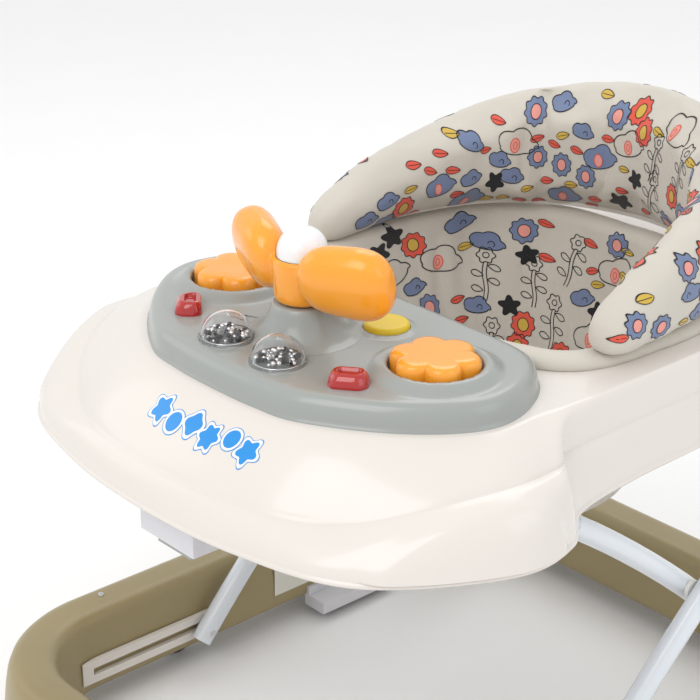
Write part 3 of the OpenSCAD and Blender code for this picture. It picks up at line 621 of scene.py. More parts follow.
wall_profile = [
    (-1.2, 0), (-0.9, 1.2), (0.2, 2.0), (0.6, 5), (1.6, 10), (3.0, 14.6), (5.4, 18.2), (8.6, 20.2),
    (12.5, 21),
]
deck_rows = [inset_ring(i, shelf_z + z) for i, z in wall_profile]
rim = [(v.x, v.y) for v in deck_rows[-1]]
wells = [((-FLOWER_AT[0], FLOWER_AT[1]), FLOWER_WELL), (FLOWER_AT, FLOWER_WELL), (ROUND_AT, ROUND_WELL)]
holes = [circle(at, r) for at, r in wells]
points, edges = [], []
for loop in [rim] + holes:
    base_index = len(points)
    points += [Vector(p) for p in loop]
    edges += [(base_index + k, base_index + (k + 1) % len(loop)) for k in range(len(loop))]
GRID = 3.2
GRID_HALF_WIDTH = 200
WELL_CLEAR, RIM_CLEAR = 1.5, 2
y = min(p[1] for p in rim)
row_number = 0
while y < max(p[1] for p in rim):
    x = -GRID_HALF_WIDTH + (row_number % 2) * GRID / 2
    while x < GRID_HALF_WIDTH:
        spot = Vector((x, y))
        clear = all(hypot(x - at[0], y - at[1]) > r + WELL_CLEAR for at, r in wells)
        if clear and inside((x, y), rim) and min((spot - Vector(p)).length for p in rim) > RIM_CLEAR:
            points.append(spot)
        x += GRID
    y += GRID * 0.87
    row_number += 1
flat, _, triangles, _, _, _ = delaunay_2d_cdt(points, edges, [], 0, 1e-4)
keep = []
for tri in triangles:
    c = (sum(flat[i].x for i in tri) / len(tri), sum(flat[i].y for i in tri) / len(tri))
    if inside(c, rim) and not any(inside(c, hole) for hole in holes):
        keep.append(tuple(tri))
top = ([(p.x, p.y, deck_z + deck_height(p.x, p.y)) for p in flat], keep)
parts = [skin(deck_rows), top]
for at, r in wells:
    loop = circle(at, r)
    crest = [deck_z + deck_height(*p) for p in loop]
    rows = [[(p[0], p[1], z) for p, z in zip(loop, crest)]]
    inner = circle(at, r - 0.5)
    rows.append([(p[0], p[1], z - 0.8) for p, z in zip(inner, crest)])
    rows.append([(p[0], p[1], shelf_z + 2) for p in inner])
    parts.append(skin(rows))
deck = make("deck_shell", *joined(*parts), "grey_plastic", None)
orient(deck)
sharpened(deck, 52)
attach(deck, "tray")
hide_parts("play_tray")

# Generic printed mark on the deck: a dot over a short line
dot = lathe([(0, deck_z + 0.35), (1.6, deck_z + 0.35), (1.7, deck_z)], (-58, -178), 20)
dash_v = [(x, y, deck_z + 0.3) for x, y in ((-74, -185), (-42, -171), (-42.4, -170.2), (-74.4, -184.2))]
make("deck_print", *joined(dot, (dash_v, [(0, 1, 2, 3)])), "black_plastic", "tray", materials=[GLOSS_BLACK])

# ---- Toys ----
PETALS = 6


def petal_radius(angle, reach, petal, centre):
    step = 2 * pi / PETALS
    d = (angle + step / 2) % step - step / 2
    return centre * cos(d) + sqrt(max(0.0, petal * petal - (centre * sin(d)) ** 2)) + reach


def flower(name, node, side, body):
    low, high = mm_box(node)
    at = (side * FLOWER_AT[0], FLOWER_AT[1])
    top_z = high.z
    rows = []
    profile = [
        (0.0, low.z), (0.0, deck_z + 3), (0.0, top_z - 6.5), (-0.5, top_z - 4.2), (-1.6, top_z - 2.2),
        (-3.4, top_z - 0.9), (-5.6, top_z - 0.35), (-9, top_z - 0.1),
    ]
    for reach, z in profile:
        row = []
        for a in turns(144):
            r = petal_radius(a + radians(30), reach, 15.0, 21.4)
            row.append((at[0] + r * cos(a), at[1] + r * sin(a), z))
        rows.append(row)
    edge = rows[-1]
    for scale, dz in ((0.8, 0.1), (0.55, 0.0), (0.3, -0.25), (0.12, -0.3)):
        z = top_z + dz - 0.1
        rows.append([(at[0] + (p[0] - at[0]) * scale, at[1] + (p[1] - at[1]) * scale, z) for p in edge])
    petals = skin(rows, cap_first=True, cap_last=True)
    make(name, *petals, "orange_plastic", body, replaces=(node,), sharp=60)


flower("left_flower", "left_flower_button", 1, "left_flower")
flower("right_flower", "right_flower_button", -1, "right_flower")

low, high = mm_box("round_button")
r = (high.x - low.x) / 2
round_profile = [
    (0, low.z), (r, low.z), (r, high.z - 3.2), (r - 0.5, high.z - 1.8), (r - 1.8, high.z - 0.5),
    (r - 3.4, high.z - 0.1), (r - 5, high.z), (8, high.z + 0.15), (0, high.z + 0.2),
]
round_disc = lathe(round_profile, ROUND_AT)
make("round_disc", *round_disc, "yellow_plastic", "round_toy", replaces=("round_button",), sharp=50)

# Clear domes with loose bits, some silver and some dark
BITS, SILVER_BITS = 74, 44
random.seed(7)
low, high = mm_box("bead_domes")
dome_r = (high.z - low.z) + 1.6
for side, label in ((1, "left"), (-1, "right")):
    at = (side * DOME_AT[0], DOME_AT[1])
    foot = deck_z + 0.6
    shell_profile = [(dome_r + 1.2, foot), (dome_r + 1.4, foot + 1.0), (dome_r + 0.6, foot + 1.8)]
    shell_profile += arc(0, foot + 0.4, dome_r - 0.2, 4, 90, 22)[:-1] + [(0, foot + 0.2 + dome_r)]
    hollow = arc(0, foot + 0.4, dome_r - 1.5, 90, 0, 22)
    hollow[0] = (0, hollow[0][1])
    dome = lathe(shell_profile + hollow + [(dome_r - 1.5, foot), (dome_r + 1.2, foot)], at)
    make(f"dome_{label}", *dome, "clear_plastic", "tray", replaces=("bead_domes",) if side == 1 else ())
    pan = [(0, foot + 0.2), (dome_r - 4, foot + 0.3), (dome_r - 2.2, foot + 1.4), (dome_r - 2.0, foot)]
    make(f"dome_pan_{label}", *lathe(pan, at), "silver_bits", "tray")
    bits = []
    for _ in range(BITS):
        a, q = random.uniform(0, 2 * pi), (dome_r - 5.0) * sqrt(random.random())
        size = random.uniform(1.2, 2.4)
        lift = foot + 0.6 + size + random.uniform(0, 6.5) * (1 - q / dome_r)
        middle = (at[0] + q * cos(a), at[1] + q * sin(a))
        bits.append(lathe(arc(0, lift, size, -90, 90, 6), middle, 10))
    silver, dark = joined(*bits[:SILVER_BITS]), joined(*bits[SILVER_BITS:])
    beads = ("dome_beads",) if side == 1 else ()
    make(f"dome_bits_{label}", *silver, "silver_bits", "tray", replaces=beads)
    make(f"dome_dark_bits_{label}", *dark, "black_plastic", "tray")


# Red lamps: rounded blocks with a sunk facet on top
def rounded_outline(w, l, r, n=10):
    x, y = w / 2 - r, l / 2 - r
    out = []
    for cx, cy, start in ((x, -y, -90), (x, y, 0), (-x, y, 90), (-x, -y, 180)):
        out += arc(cx, cy, r, start, start + 90, n)
    return out


# Width, length, corner radius, height over the deck and shift of each section, in mm
LAMP_SECTIONS = (
    (33, 22.5, 7, -0.4, 0), (33.6, 23, 7.2, 0.8, 0), (32, 22.6, 7.4, 3, 0.1), (30.6, 21.8, 7.4, 6, 0.5),
    (28, 19.6, 7.2, 8.6, 1.0), (24.6, 16.2, 6.4, 10.4, 1.4), (20.6, 12.4, 4.4, 11.0, 1.6),
    (18.2, 10, 3, 10.6, 1.6), (17, 8.8, 2.4, 8.2, 1.6), (10, 4, 1.4, 7.9, 1.6),
)


for side, label in ((1, "left"), (-1, "right")):
    turn = Matrix.Rotation(radians(side * 38), 4, "Z")
    rows = []
    for w, l, r, z, shift in LAMP_SECTIONS:
        middle = Vector((side * LAMP_AT[0], LAMP_AT[1], deck_z + z))
        front = [(x * (1 - 0.16 * smoothstep(0, l / 2, -y)), y) for x, y in rounded_outline(w, l, r)]
        rows.append([middle + turn @ Vector((x, y + shift, 0)) for x, y in front])
    make(f"lamp_{label}", *skin(rows, cap_first=True, cap_last=True), "red_plastic", "tray",
         replaces=("lamps",) if side == 1 else (), sharp=70)

# ---- Steering ----
low, high = mm_box("steering_column")
column_top = high.z
cone = [
    (48, deck_z + 0.2), (42, deck_z + 1.8), (37, deck_z + 4.6), (33.4, deck_z + 8.6), (30.6, deck_z + 13),
    (28.2, deck_z + 18), (26.3, deck_z + 23), (25, column_top - 1.6), (24, column_top - 0.3),
    (22, column_top), (7.4, column_top), (7.4, column_top - 10),
]
column = lathe(cone, WHEEL_AT, 128)
make("column_cone", *column, "grey_plastic", "tray", replaces=("steering_column",), sharp=60)

low, high = mm_box("steering_wheel")
hub_low, hub_top = low.z, column_top + 38.5
PADDLE_SWEEP, PADDLE_LEAN = radians(26), radians(16)
PADDLE_OUT, PADDLE_UP = 51, 28
PADDLE_HALF_LENGTH, PADDLE_HALF_THICK, PADDLE_HALF_TALL = 41, 21, 34
PADDLE_FOOT = 0.90


def superellipse(a, power):
    """Cosine and sine with their sizes raised to a power below 1, for a squarer section."""
    c, s = cos(a), sin(a)
    return copysign(abs(c) ** power, c), copysign(abs(s) ** power, s)


def paddle(side):
    """A tall egg of a blade, as a skin over superellipse sections."""
    along = Vector((side * cos(PADDLE_SWEEP), sin(PADDLE_SWEEP), 0))
    across = Vector((-along.y, along.x, 0)) * side
    tall = Vector((0, 0, 1)) * cos(PADDLE_LEAN) - across * sin(PADDLE_LEAN)
    thick = across * cos(PADDLE_LEAN) + Vector((0, 0, 1)) * sin(PADDLE_LEAN)
    centre = Vector((side * PADDLE_OUT, WHEEL_AT[1] + 1, hub_low + PADDLE_UP))
    rows = []
    steps, count = 26, 40
    for i in range(steps + 1):
        t = -1 + 2 * i / steps
        body = max(0.001, 1 - abs(t) ** 3.4) ** 0.5
        swell = 0.94 + 0.08 * t
        row = []
        for a in turns(count):
            c, s = superellipse(a, 0.85)
            u = c * PADDLE_HALF_THICK * body * swell
            v = s * PADDLE_HALF_TALL * body * swell
            if v < 0:
                v *= PADDLE_FOOT
            row.append(centre + along * (t * PADDLE_HALF_LENGTH) + thick * u + tall * v)
        rows.append(row)
    return skin(rows, cap_first=True, cap_last=True)


def neck(side):
    """The arm that joins a paddle to the hub, as a skin over ellipses that grow outwards."""
    rows = []
    for k in range(9):
        t = k / 8
        c = Vector((side * (10 + 34 * t), WHEEL_AT[1] - 3 + t, hub_low + 21 + 5 * t))
        wide, tall = 13 + 3 * t, 14 + 5 * t
        rows.append([c + Vector((0, wide * cos(a), tall * sin(a))) for a in turns(28)])
    return skin(rows, cap_first=True, cap_last=True)


hub = [
    (0, hub_low), (17, hub_low), (21, hub_low + 1), (23.2, hub_low + 3.4), (23.8, hub_low + 8),
    (24.2, hub_low + 20), (25.0, hub_top - 4), (25.2, hub_top - 1.6), (24.4, hub_top - 0.3), (23, hub_top),
    (0, hub_top),
]
yoke_parts = joined(lathe(hub, WHEEL_AT, 96), paddle(1), paddle(-1), neck(1), neck(-1))
yoke = make("yoke", *yoke_parts, "orange_plastic", None)
orient(yoke)
modifier(yoke, "REMESH", mode="VOXEL", voxel_size=0.0014, use_smooth_shade=True)
modifier(yoke, "SMOOTH", factor=0.6, iterations=9)
baked(yoke)
# Radius, foot, top and segments of the horn's socket, the spindle's bore and the flat underside
cuts = {
    "socket_cut": (21.6, hub_top - 3.2, hub_top + 40, 96),
    "bore_cut": (6.1, hub_low - 12, hub_low + 33, 48),
    "flat_cut": (130, hub_low - 20, hub_low + 0.2, 64),
}
cutters = []
for name, (r, foot, top_z, n) in cuts.items():
    plug = lathe([(0, foot), (r, foot), (r, top_z), (0, top_z)], WHEEL_AT, n)
    cutters.append(orient(make(name, *plug, "orange_plastic", None)))
    modifier(yoke, "BOOLEAN", operation="DIFFERENCE", object=cutters[-1], solver="EXACT")
baked(yoke)
for cutter in cutters:
    bpy.data.objects.remove(cutter)
sharpened(yoke, 50)
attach(yoke, "steering")
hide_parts("steering_wheel")

low, high = mm_box("horn_button")
horn_r = (high.x - low.x) / 2
horn_seat = high.z - horn_r
horn_profile = [(horn_r - 1.6, low.z), (horn_r, low.z), (horn_r, horn_seat)]
horn_profile += arc(0, horn_seat, horn_r, 4, 90, 24)[:-1] + [(0, high.z)]
horn_inside = arc(0, horn_seat - 0.4, horn_r - 1.8, 90, 0, 24)
horn_inside[0] = (0, horn_inside[0][1])
horn = lathe(horn_profile + horn_inside + [(horn_r - 1.6, low.z)], WHEEL_AT, 96)
make("horn_dome", *horn, "white_dome", "horn", replaces=("horn_button",), sharp=60)

# ---- Flat inked shapes on a surface ----
def tree_of(obj):
    bpy.context.view_layer.update()
    depsgraph = bpy.context.evaluated_depsgraph_get()
    return BVHTree.FromObject(obj, depsgraph)


def blob(n, amount, r, count=48, phase=0.0):
    """A loop with n soft lobes."""
    out = []
    for a in turns(count):
        reach = r * (1 + amount * cos(n * a + phase))
        out.append((reach * cos(a), reach * sin(a)))
    return out


def project(points, place, tree, lift, limit=0.02):
    """Drops 2-D points onto a surface; place(a, b) gives a ray in metres. None if a ray misses or jumps."""
    out, last = [], None
    for a, b in points:
        origin, ray = place(a, b)
        hit, normal, _, reach = tree.ray_cast(origin, ray)
        if hit is None or (last is not None and abs(reach - last) > limit):
            return None
        last = reach
        if normal.dot(ray) > 0:
            normal = -normal
        out.append((hit + normal * lift * MM) / MM)
    return out


class Print:
    """Flat inked shapes laid on a surface, one material slot per ink."""

    LONGEST_STEP = 16
    RING_STEP = 3.5

    def __init__(self, place, tree, inks):
        self.place, self.tree = place, tree
        self.inks = list(inks)
        self.verts, self.faces, self.marks = [], [], []

    def _add(self, rows, ink, lift, closed):
        grid = []
        for row in rows:
            got = project(row, self.place, self.tree, lift)
            if got is None:
                return False
            grid.append(got)
        for a, b in zip(grid, grid[1:]):
            if max((p - q).length for p, q in zip(a, b)) > self.LONGEST_STEP:
                return False
        base_index = len(self.verts)
        n = len(grid[0])
        for row in grid:
            self.verts += row
        for i in range(len(grid) - 1):
            for j in range(n if closed else n - 1):
                k = (j + 1) % n
                near, far = base_index + i * n, base_index + (i + 1) * n
                self.faces.append((near + j, near + k, far + k, far + j))
                self.marks.append(self.inks.index(ink))
        return True

    def fill(self, loop, ink, lift=0.35, centre=None):
        cx, cy = centre or (sum(p[0] for p in loop) / len(loop), sum(p[1] for p in loop) / len(loop))
        size = max(hypot(p[0] - cx, p[1] - cy) for p in loop)
        rings = max(2, int(size / self.RING_STEP) + 1)
        scales = [k / rings for k in range(rings, 0, -1)] + [0.02]
        rows = [[(cx + (p[0] - cx) * f, cy + (p[1] - cy) * f) for p in loop] for f in scales]
        return self._add(rows, ink, lift, True)

    def line(self, pts, ink, width=1.1, closed=False, lift=0.5):
        n = len(pts)
        left, right = [], []
        for i, p in enumerate(pts):
            a = pts[i - 1] if (closed or i) else pts[i]
            b = pts[(i + 1) % n] if (closed or i < n - 1) else pts[i]
            d = Vector((b[0] - a[0], b[1] - a[1]))
            d = d.normalized() if d.length > 1e-9 else Vector((1, 0))
            left.append((p[0] - d.y * width / 2, p[1] + d.x * width / 2))
            right.append((p[0] + d.y * width / 2, p[1] - d.x * width / 2))
        return self._add([left, right], ink, lift, closed)

    def build(self, name, body, slot, mats):
        inks = [mats[i] for i in self.inks]
        obj = make(name, self.verts, self.faces, None, body, slot=slot, materials=inks)
        for polygon, mark in zip(obj.data.polygons, self.marks):
            polygon.material_index = mark
        return obj


def shifted(loop, x, y, turn=0.0, size=1.0):
    c, s = cos(turn), sin(turn)
    return [(x + size * (p[0] * c - p[1] * s), y + size * (p[0] * s + p[1] * c)) for p in loop]


# Blue generic shapes on the front, in place of lettering
shell_tree = tree_of(shell)
DECAL_AT = Vector((21, -289, 0))
DECAL_TURN = radians(4)
DECAL_SAG = -0.0011


def decal_ray(a, b):
    c, s = cos(DECAL_TURN), sin(DECAL_TURN)
    sag = DECAL_SAG * a * a
    x, y = DECAL_AT.x + a * c - b * s, DECAL_AT.y + a * s + b * c * 0.9 - sag
    return Vector((x, y, 900)) * MM, Vector((0, 0, -1))


decal = Print(decal_ray, shell_tree, ("decal_white", "decal_blue"))
decal_shapes = (
    (-46, blob(5, 0.20, 8.6, 60)), (-26, blob(0, 0.0, 7.4, 48)), (-6, blob(4, 0.13, 8.2, 60)),
    (15, blob(6, 0.16, 8.4, 72)), (36, blob(0, 0.0, 7.0, 48)), (55, blob(5, 0.20, 8.0, 60, 1.2)),
)
# Size, ink and lift of a shape's blue edge, white line and blue middle
decal_layers = ((1.36, "decal_blue", 0.20), (1.27, "decal_white", 0.30), (1.0, "decal_blue", 0.42))
for k, (x, loop) in enumerate(decal_shapes):
    y = 2.2 * (-1) ** k
    for size, ink, lift in decal_layers:
        decal.fill(shifted(loop, x, y, 0, size), ink, lift, (x, y))
decal.build("front_decal", "tray", "label", DECAL)

# ---- Backrest pad ----
PAD_HALF = [(165, -5), (167, 60), (161, 122), (137, 188), (80, 240)]
PAD_PATH = PAD_HALF + [(0, 260)] + [(-x, y) for x, y in reversed(PAD_HALF)]
RISE_HALF = [0.05, 0.38, 0.58, 0.77, 0.93]
PAD_RISE = RISE_HALF + [1] + RISE_HALF[::-1]
pad_low, pad_high = mm_box("backrest_pad")
PAD_STEPS = 14
pad_path = spline([(x, y, 0) for x, y in PAD_PATH], PAD_STEPS, closed=False)
pad_rise = [v.x for v in spline([(r, 0, 0) for r in PAD_RISE], PAD_STEPS, closed=False)]
pad_side = []
for i in range(len(pad_path)):
    d = (pad_path[min(i + 1, len(pad_path) - 1)] - pad_path[max(i - 1, 0)]).normalized()
    pad_side.append(Vector((d.y, -d.x, 0)))
pad_length = [0.0]
for a, b in zip(pad_path, pad_path[1:]):
    pad_length.append(pad_length[-1] + (b - a).length)
PAD_TIP_TOP = pad_low.z + 27
PAD_CREST = pad_high.z - 6
PAD_THICK = 40
PAD_END_ROUND = 26


def pad_section(i, thick, count=36):
    """A superellipse section across the pad, which tapers towards the pad's two ends."""
    top_z = PAD_TIP_TOP + (PAD_CREST - PAD_TIP_TOP) * pad_rise[i]
    low_z = pad_low.z + 3
    ends = min(pad_length[i], pad_length[-1] - pad_length[i])
    taper = sqrt(max(0.0, 1 - (1 - min(1.0, ends / PAD_END_ROUND)) ** 2))
    mid, half = (top_z + low_z) / 2, (top_z - low_z) / 2
    row = []
    for a in turns(count):
        c, s = superellipse(a, 0.7)
        u = c * thick / 2 * (0.25 + 0.75 * taper)
        w = s * half * (0.45 + 0.55 * taper)
        row.append(pad_path[i] + pad_side[i] * u + Vector((0, 0, mid + w)))
    return row


pad_rows = [pad_section(i, PAD_THICK) for i in range(len(pad_path))]
pad = make("backrest_cushion", *skin(pad_rows, cap_first=True, cap_last=True), "fabric", None)
orient(pad)


def puff(obj, voxel, pressure, cap, shrink, frames=20):
    """Inflates a closed soft form as cloth and keeps the result, with its travel capped."""
    modifier(obj, "REMESH", mode="VOXEL", voxel_size=voxel, use_smooth_shade=True)
    baked(obj)
    rest = [v.co.copy() for v in obj.data.vertices]
    mod = obj.modifiers.new("cloth", "CLOTH")
    cloth = mod.settings
    cloth.quality = 5
    cloth.mass = 0.2
    cloth.tension_stiffness = 18
    cloth.compression_stiffness = 6
    cloth.shear_stiffness = 6
    cloth.bending_stiffness = 0.15
    cloth.use_pressure = True
    cloth.uniform_pressure_force = pressure
    cloth.shrink_min = shrink
    cloth.effector_weights.gravity = 0
    for f in range(1, frames + 1):
        scene.frame_set(f)
    graph_now = bpy.context.evaluated_depsgraph_get()
    moved = [v.co.copy() for v in obj.evaluated_get(graph_now).data.vertices]
    obj.modifiers.clear()
    scene.frame_set(1)
    for v, a, b in zip(obj.data.vertices, rest, moved):
        d = b - a
        v.co = a + (d.normalized() * min(d.length, cap) if d.length > 0 else d)
    return obj


def near_path(p):
    """Index along the pad's path nearest a point in mm, and how far to its outer side."""
    def gap(i):
        return (pad_path[i].x - p.x) ** 2 + (pad_path[i].y - p.y) ** 2

    best = min(range(len(pad_path)), key=gap)
    return best, (Vector((p.x, p.y, 0)) - pad_path[best]).dot(pad_side[best])


total = pad_length[-1]
PAD_SEAMS = [0.345, 0.655]
puff(pad, voxel=0.0055, pressure=3.2, cap=0.009, shrink=-0.02)
for v in pad.data.vertices:
    p = v.co / MM
    i, out = near_path(p)
    s = pad_length[i] / total
    height = (p.z - pad_low.z) / (pad_high.z - pad_low.z)
    pull = 0.0
    for seam in PAD_SEAMS:
        pull += 5.0 * bump_at((s - seam) * total, 4.5) + 2.4 * bump_at((s - seam) * total, 16)
    pull += 1.6 * bump_at((s - 0.5) * total, 9)
    folds = 1.8 * noise.noise(Vector((s * 26, height * 2.2, 0.3)))
    folds += noise.noise(Vector((s * 60, height * 7, 2.3)))
    drift = 3 * noise.noise(Vector((s * 12, 0, 0)))
    gather = 1.6 * sin(s * 150 + drift) * max(0.0, 0.35 - height)
    inward_dir = pad_side[i] * (-1 if out > 0 else 1)
    v.co = (p + inward_dir * (pull - folds - gather)) * MM
pad.data.update()
modifier(pad, "SMOOTH", factor=0.5, iterations=2)
modifier(pad, "SUBSURF", levels=1, render_levels=1)
baked(pad)
pad.data.shade_smooth()
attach(pad, "tray")
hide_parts("backrest_pad")

# ---- Seat liner with its hem over the rim ----
RIM = spline(mirrored([(x, y, 0) for x, y in seat_edge_half]), 16)
rim_in = inward(RIM)
SEAT_MIDDLE = Vector((0, 98, 0))
LEG_HOLE_X, LEG_HOLE_Z, LEG_HOLE_R = 62, 290, 48
SIDE_OFFSET, SIDE_TOP, SIDE_FOOT, SIDE_ROWS = 7.5, shelf_z - 8, 262, 16


def toward(p, t, a, b):
    """Point between the rim's plan and a seat ellipse at the same angle."""
    d = p - SEAT_MIDDLE
    angle = atan2(d.x, -d.y)
    e = Vector((SEAT_MIDDLE.x + a * sin(angle), SEAT_MIDDLE.y - b * cos(angle), 0))
    return p.lerp(e, t)


def liner_row(offset, z, t=0.0, a=140, b=120, wave=0.0):
    row = []
    for p, n in zip(RIM, rim_in):
        q = toward(p + n * offset, t, a, b)
        d = (q - SEAT_MIDDLE).normalized()
        ang = atan2(d.x, -d.y)
        broad = noise.noise(Vector((ang * 4.2, z * 0.012, 5))) * 1.7
        narrow = noise.noise(Vector((ang * 11, z * 0.02, 9))) * 0.8
        row.append(Vector((q.x, q.y, z)) + d * (wave * (broad + narrow)))
    return row


# Offset into the rim, height over the shelf and ripple of each row of the hem
hem = (
    (-17, 1.2, 1.5), (-17.6, 2.6, 1.6), (-17, 5.0, 1.8), (-14, 7.4, 1.8), (-9, 8.8, 1.6),
    (-4, 9.0, 1.5), (1.5, 7.8, 1.6), (5, 4.6, 1.8), (6.6, 0, 2.0), (SIDE_OFFSET, -8, 2.4),
)
liner_rows = [liner_row(offset, shelf_z + z, wave=wave) for offset, z, wave in hem]
for k in range(1, SIDE_ROWS + 1):
    t = k / SIDE_ROWS
    z = SIDE_TOP - (SIDE_TOP - SIDE_FOOT) * t
    liner_rows.append(liner_row(SIDE_OFFSET, z, t, 104, 94, 3.2 * (1 - 0.4 * t)))
for a, b, z in ((96, 87, 249), (84, 78, 237), (66, 64, 229), (44, 42, 225.5), (22, 21, 225)):
    liner_rows.append(liner_row(SIDE_OFFSET, z, 1.0, a, b, 1.2))
liner = make("seat_liner", *skin(liner_rows, cap_last=True), "fabric", None)
modifier(liner, "SOLIDIFY", thickness=0.004, offset=0.0)
baked(liner)
orient(liner)
for side in (1, -1):
    loop = circle((side * LEG_HOLE_X, LEG_HOLE_Z), LEG_HOLE_R, 64)
    cut_rows = [[Vector((x, y, z)) for x, z in loop] for y in (-120, SEAT_MIDDLE.y)]
    cutter = make(f"leg_cut_{side}", *skin(cut_rows, cap_first=True, cap_last=True), "fabric", None)
    orient(cutter)
    modifier(liner, "BOOLEAN", operation="DIFFERENCE", object=cutter, solver="EXACT")
    baked(liner)
    bpy.data.objects.remove(cutter)
sharpened(liner, 70)
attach(liner, "tray")
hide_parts("seat_sling")


# ---- Printed motifs: generic clouds, suns, stars, leaves and tall flowers ----
def ellipse(a, b, n=36):
    return [(a * cos(q), b * sin(q)) for q in turns(n)]


def cloud(r, n=64):
    """A cloud with a scalloped top and a flat foot."""
    out = []
    for a in turns(n):
        puffed = r * (0.86 + 0.22 * abs(sin(2.5 * a))) if sin(a) > -0.05 else r * 0.9
        out.append((1.28 * puffed * cos(a), puffed * sin(a) * (1 if sin(a) > 0 else 0.5)))
    return out


def leaf(l, w, n=32):
    """A loop with pointed ends, wider towards one of them."""
    out = []
    for a in turns(n):
        width = w * sin(a) * abs(sin(a)) ** 0.4 * (1 + 0.3 * cos(a))
        out.append((l * cos(a), width))
    return out


def stamp(page, kind, x, y, turn, size):
    """Draws one motif; returns False where it doesn't fit on the cloth."""
    def s(loop):
        return shifted(loop, x, y, turn, size)

    def at(px, py):
        return shifted([(px, py)], x, y, turn, size)[0]

    def ear_of(a, b):
        return s([(p[0] + 2, p[1] + 1) for p in ellipse(a, b)])

    if kind == "cloud":
        body = s(cloud(9))
        curl = s([(-3 + 2.2 * cos(k * 0.5), 0.5 + 2.2 * sin(k * 0.5)) for k in range(9)])
        return (page.fill(body, "slate", 0.35, (x, y)) and page.line(body, "ink", 0.9, True)
                and page.line(curl, "ink", 0.8))
    if kind == "big_cloud":
        ear = ear_of(4.2, 5.6)
        return (page.line(s(cloud(14)), "ink", 1.0, True) and page.fill(ear, "pink", 0.35, at(2, 1))
                and page.line(ear, "coral", 0.9, True) and page.line(ear_of(1.7, 2.8), "coral", 0.8, True))
    if kind == "slate_cloud":
        body, ear = s(cloud(13)), ear_of(3.8, 5.0)
        return (page.fill(body, "slate", 0.35, (x, y)) and page.line(body, "ink", 0.9, True)
                and page.fill(ear, "pink", 0.6, at(2, 1)) and page.line(ear, "coral", 0.8, True, 0.75))
    if kind in ("sun", "slate_sun"):
        body, heart = s(blob(9, 0.09, 9.5, 72)), s(ellipse(4.4, 5.0))
        tint, middle = ("coral", "mustard") if kind == "sun" else ("slate", "pink")
        return (page.fill(body, tint, 0.35, (x, y)) and page.line(body, "ink", 0.8, True)
                and page.fill(heart, middle, 0.6, (x, y)) and page.line(heart, "ink", 0.7, True, 0.75))
    if kind == "black_star":
        body = s([(1.1 * p[0], p[1]) for p in blob(5, 0.24, 7.5, 60)])
        return page.fill(body, "ink", 0.4, (x, y))
    if kind in ("leaf", "red_leaf"):
        body, tint = s(leaf(6.5, 2.9)), "mustard" if kind == "leaf" else "coral"
        vein = s([(-6, 0), (-2, 0), (2, 0), (5, 0)])
        return (page.fill(body, tint, 0.35, (x, y)) and page.line(body, "ink", 0.6, True)
                and page.line(vein, "ink", 0.5))
    # A tall flower in outline: head, stem and leaves
    head = s([(p[0], p[1] + 17) for p in blob(6, 0.14, 6.0, 60)])
    core = s([(p[0], p[1] + 17) for p in ellipse(2.2, 2.2, 20)])
    stem = [(0.9 * sin(k * 0.5), 11 - 2.3 * k) for k in range(14)]
    ok = page.line(head, "ink", 0.9, True) and page.line(core, "ink", 0.8, True)
    for dx in (-1.5, 1.5):
        ok = ok and page.line(s([(p[0] + dx, p[1]) for p in stem]), "ink", 0.8)
    for sign, base_y in ((1, 0), (-1, -6), (1, -12), (-1, 5)):
        outline = leaf(4.6, 2.4, 24)
        blade = [(sign * (6.4 + p[0]), base_y + 2.5 + p[1] + 0.3 * p[0] * sign) for p in outline]
        ok = ok and page.line(s(blade), "ink", 0.8, True)
    return ok


KINDS = [
    "tall", "big_cloud", "cloud", "sun", "tall", "slate_cloud", "leaf", "big_cloud", "slate_sun", "tall",
    "cloud", "black_star", "red_leaf",
]
# Room that each motif needs round its middle, in mm
REACH = {
    "tall": 25, "big_cloud": 22, "slate_cloud": 21, "cloud": 16, "sun": 15, "slate_sun": 15,
    "black_star": 12, "leaf": 9.5, "red_leaf": 9.5,
}


def scatter(page, a_range, b_range, seed, tries=1500, room=0.66):
    """Tries motifs at random places and keeps those with enough room round them."""
    rng = random.Random(seed)
    placed = []
    for k in range(tries):
        kind = KINDS[k % len(KINDS)] if k < tries * 0.92 else rng.choice(["leaf", "red_leaf"])
        a, b = rng.uniform(*a_range), rng.uniform(*b_range)
        reach = REACH[kind]
        if any(hypot(a - q[0], b - q[1]) < (reach + q[2]) * room for q in placed):
            continue
        marks = len(page.faces), len(page.verts), len(page.marks)
        if stamp(page, kind, a, b, rng.uniform(-0.3, 0.3), rng.uniform(1.05, 1.25)):
            placed.append((a, b, reach))
        else:
            del page.faces[marks[0]:], page.verts[marks[1]:], page.marks[marks[2]:]


def along_pad(s):
    """Point and outward side of the pad's path, s mm along it."""
    s = min(total, max(0.0, s))
    for i in range(len(pad_length) - 1):
        if pad_length[i + 1] >= s:
            t = (s - pad_length[i]) / max(1e-6, pad_length[i + 1] - pad_length[i])
            return pad_path[i].lerp(pad_path[i + 1], t), pad_side[i].lerp(pad_side[i + 1], t).normalized()
    return pad_path[-1], pad_side[-1]


def pad_ray(face):
    def place(a, b):
        centre, side = along_pad(a)
        origin = centre + side * face * 60 + Vector((0, 0, b))
        return origin * MM, -side * face
    return place


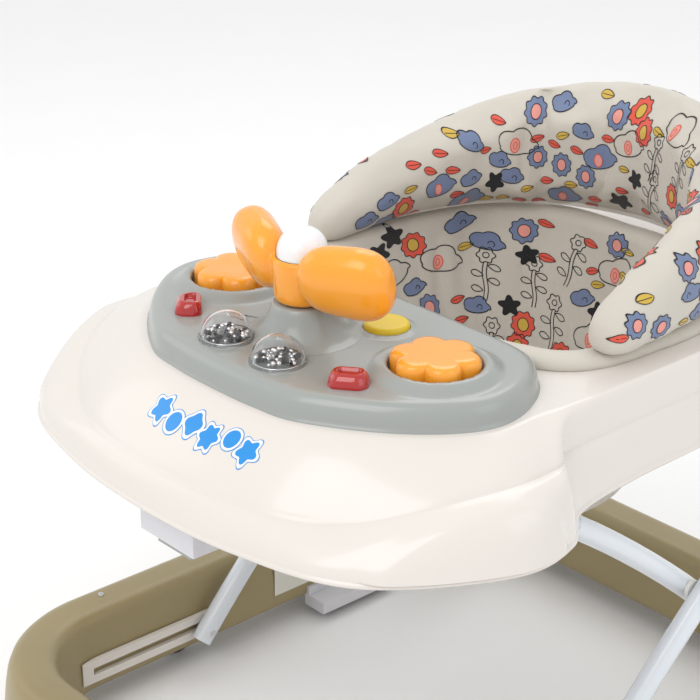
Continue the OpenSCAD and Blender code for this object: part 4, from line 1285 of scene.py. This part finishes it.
pad_tree = tree_of(pad)
inner_face = 1 if pad_side[len(pad_side) // 2].y < 0 else -1
EDGE = 8
for label, face, seed in (("inside", inner_face, 11), ("outside", -inner_face, 12)):
    page = Print(pad_ray(face), pad_tree, INKS)
    scatter(page, (EDGE, total - EDGE), (pad_low.z + EDGE, pad_high.z - EDGE), seed)
    page.build(f"cushion_print_{label}", "tray", "fabric", INKS)

liner_tree = tree_of(liner)
LINER_R = 128.0
LINER_PRINT_FOOT = 255


def liner_ray(a, b):
    angle = a / LINER_R
    middle = Vector((SEAT_MIDDLE.x, SEAT_MIDDLE.y, b))
    return middle * MM, Vector((sin(angle), -cos(angle), 0))


page = Print(liner_ray, liner_tree, INKS)
scatter(page, (-LINER_R * pi, LINER_R * pi), (LINER_PRINT_FOOT, shelf_z + 2), 21)
page.build("liner_print", "tray", "fabric", INKS)


# ---- Finishes and rounded edges on the CAD pieces that show ----
record = frame["record"]
slot_of = {part["node"]: part["material_slot"] for part in record["subparts"]}
BEVELS = {
    "adjuster_housing": 3.0, "stop_blocks": 2.0, "release_lever": 1.2, "hinge_blocks": 1.2,
    "slide_rails": 0.8, "rear_saddles": 1.5, "rear_saddle_caps": 1.5, "stop_pads": 1.0,
}
for name, node in frame["nodes"].items():
    slot = slot_of.get(name, "white_plastic")
    finish = "box_white" if name in ("adjuster_housing", "stop_blocks") else slot
    node.data.materials.clear()
    node.data.materials.append(FINISHES.get(finish, FINISHES["white_plastic"]))
    if not node.hide_render:
        if name in BEVELS:
            bevel = modifier(node, "BEVEL", width=BEVELS[name] * MM, segments=4, limit_method="ANGLE")
            bevel.angle_limit = radians(50)

# ---- Floor ----
FLOOR = 6.0
floor_corners = [(-FLOOR, -FLOOR, 0), (FLOOR, -FLOOR, 0), (FLOOR, FLOOR, 0), (-FLOOR, FLOOR, 0)]
floor_mesh = bpy.data.meshes.new("floor")
floor_mesh.from_pydata(floor_corners, [], [(0, 1, 2, 3)])
floor = bpy.data.objects.new("floor", floor_mesh)
scene.collection.objects.link(floor)
floor_mesh.materials.append(material("floor", (0.93, 0.93, 0.93), 0.9, 0.004, 0.03, 0.0))
floor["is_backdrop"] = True

low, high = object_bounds()
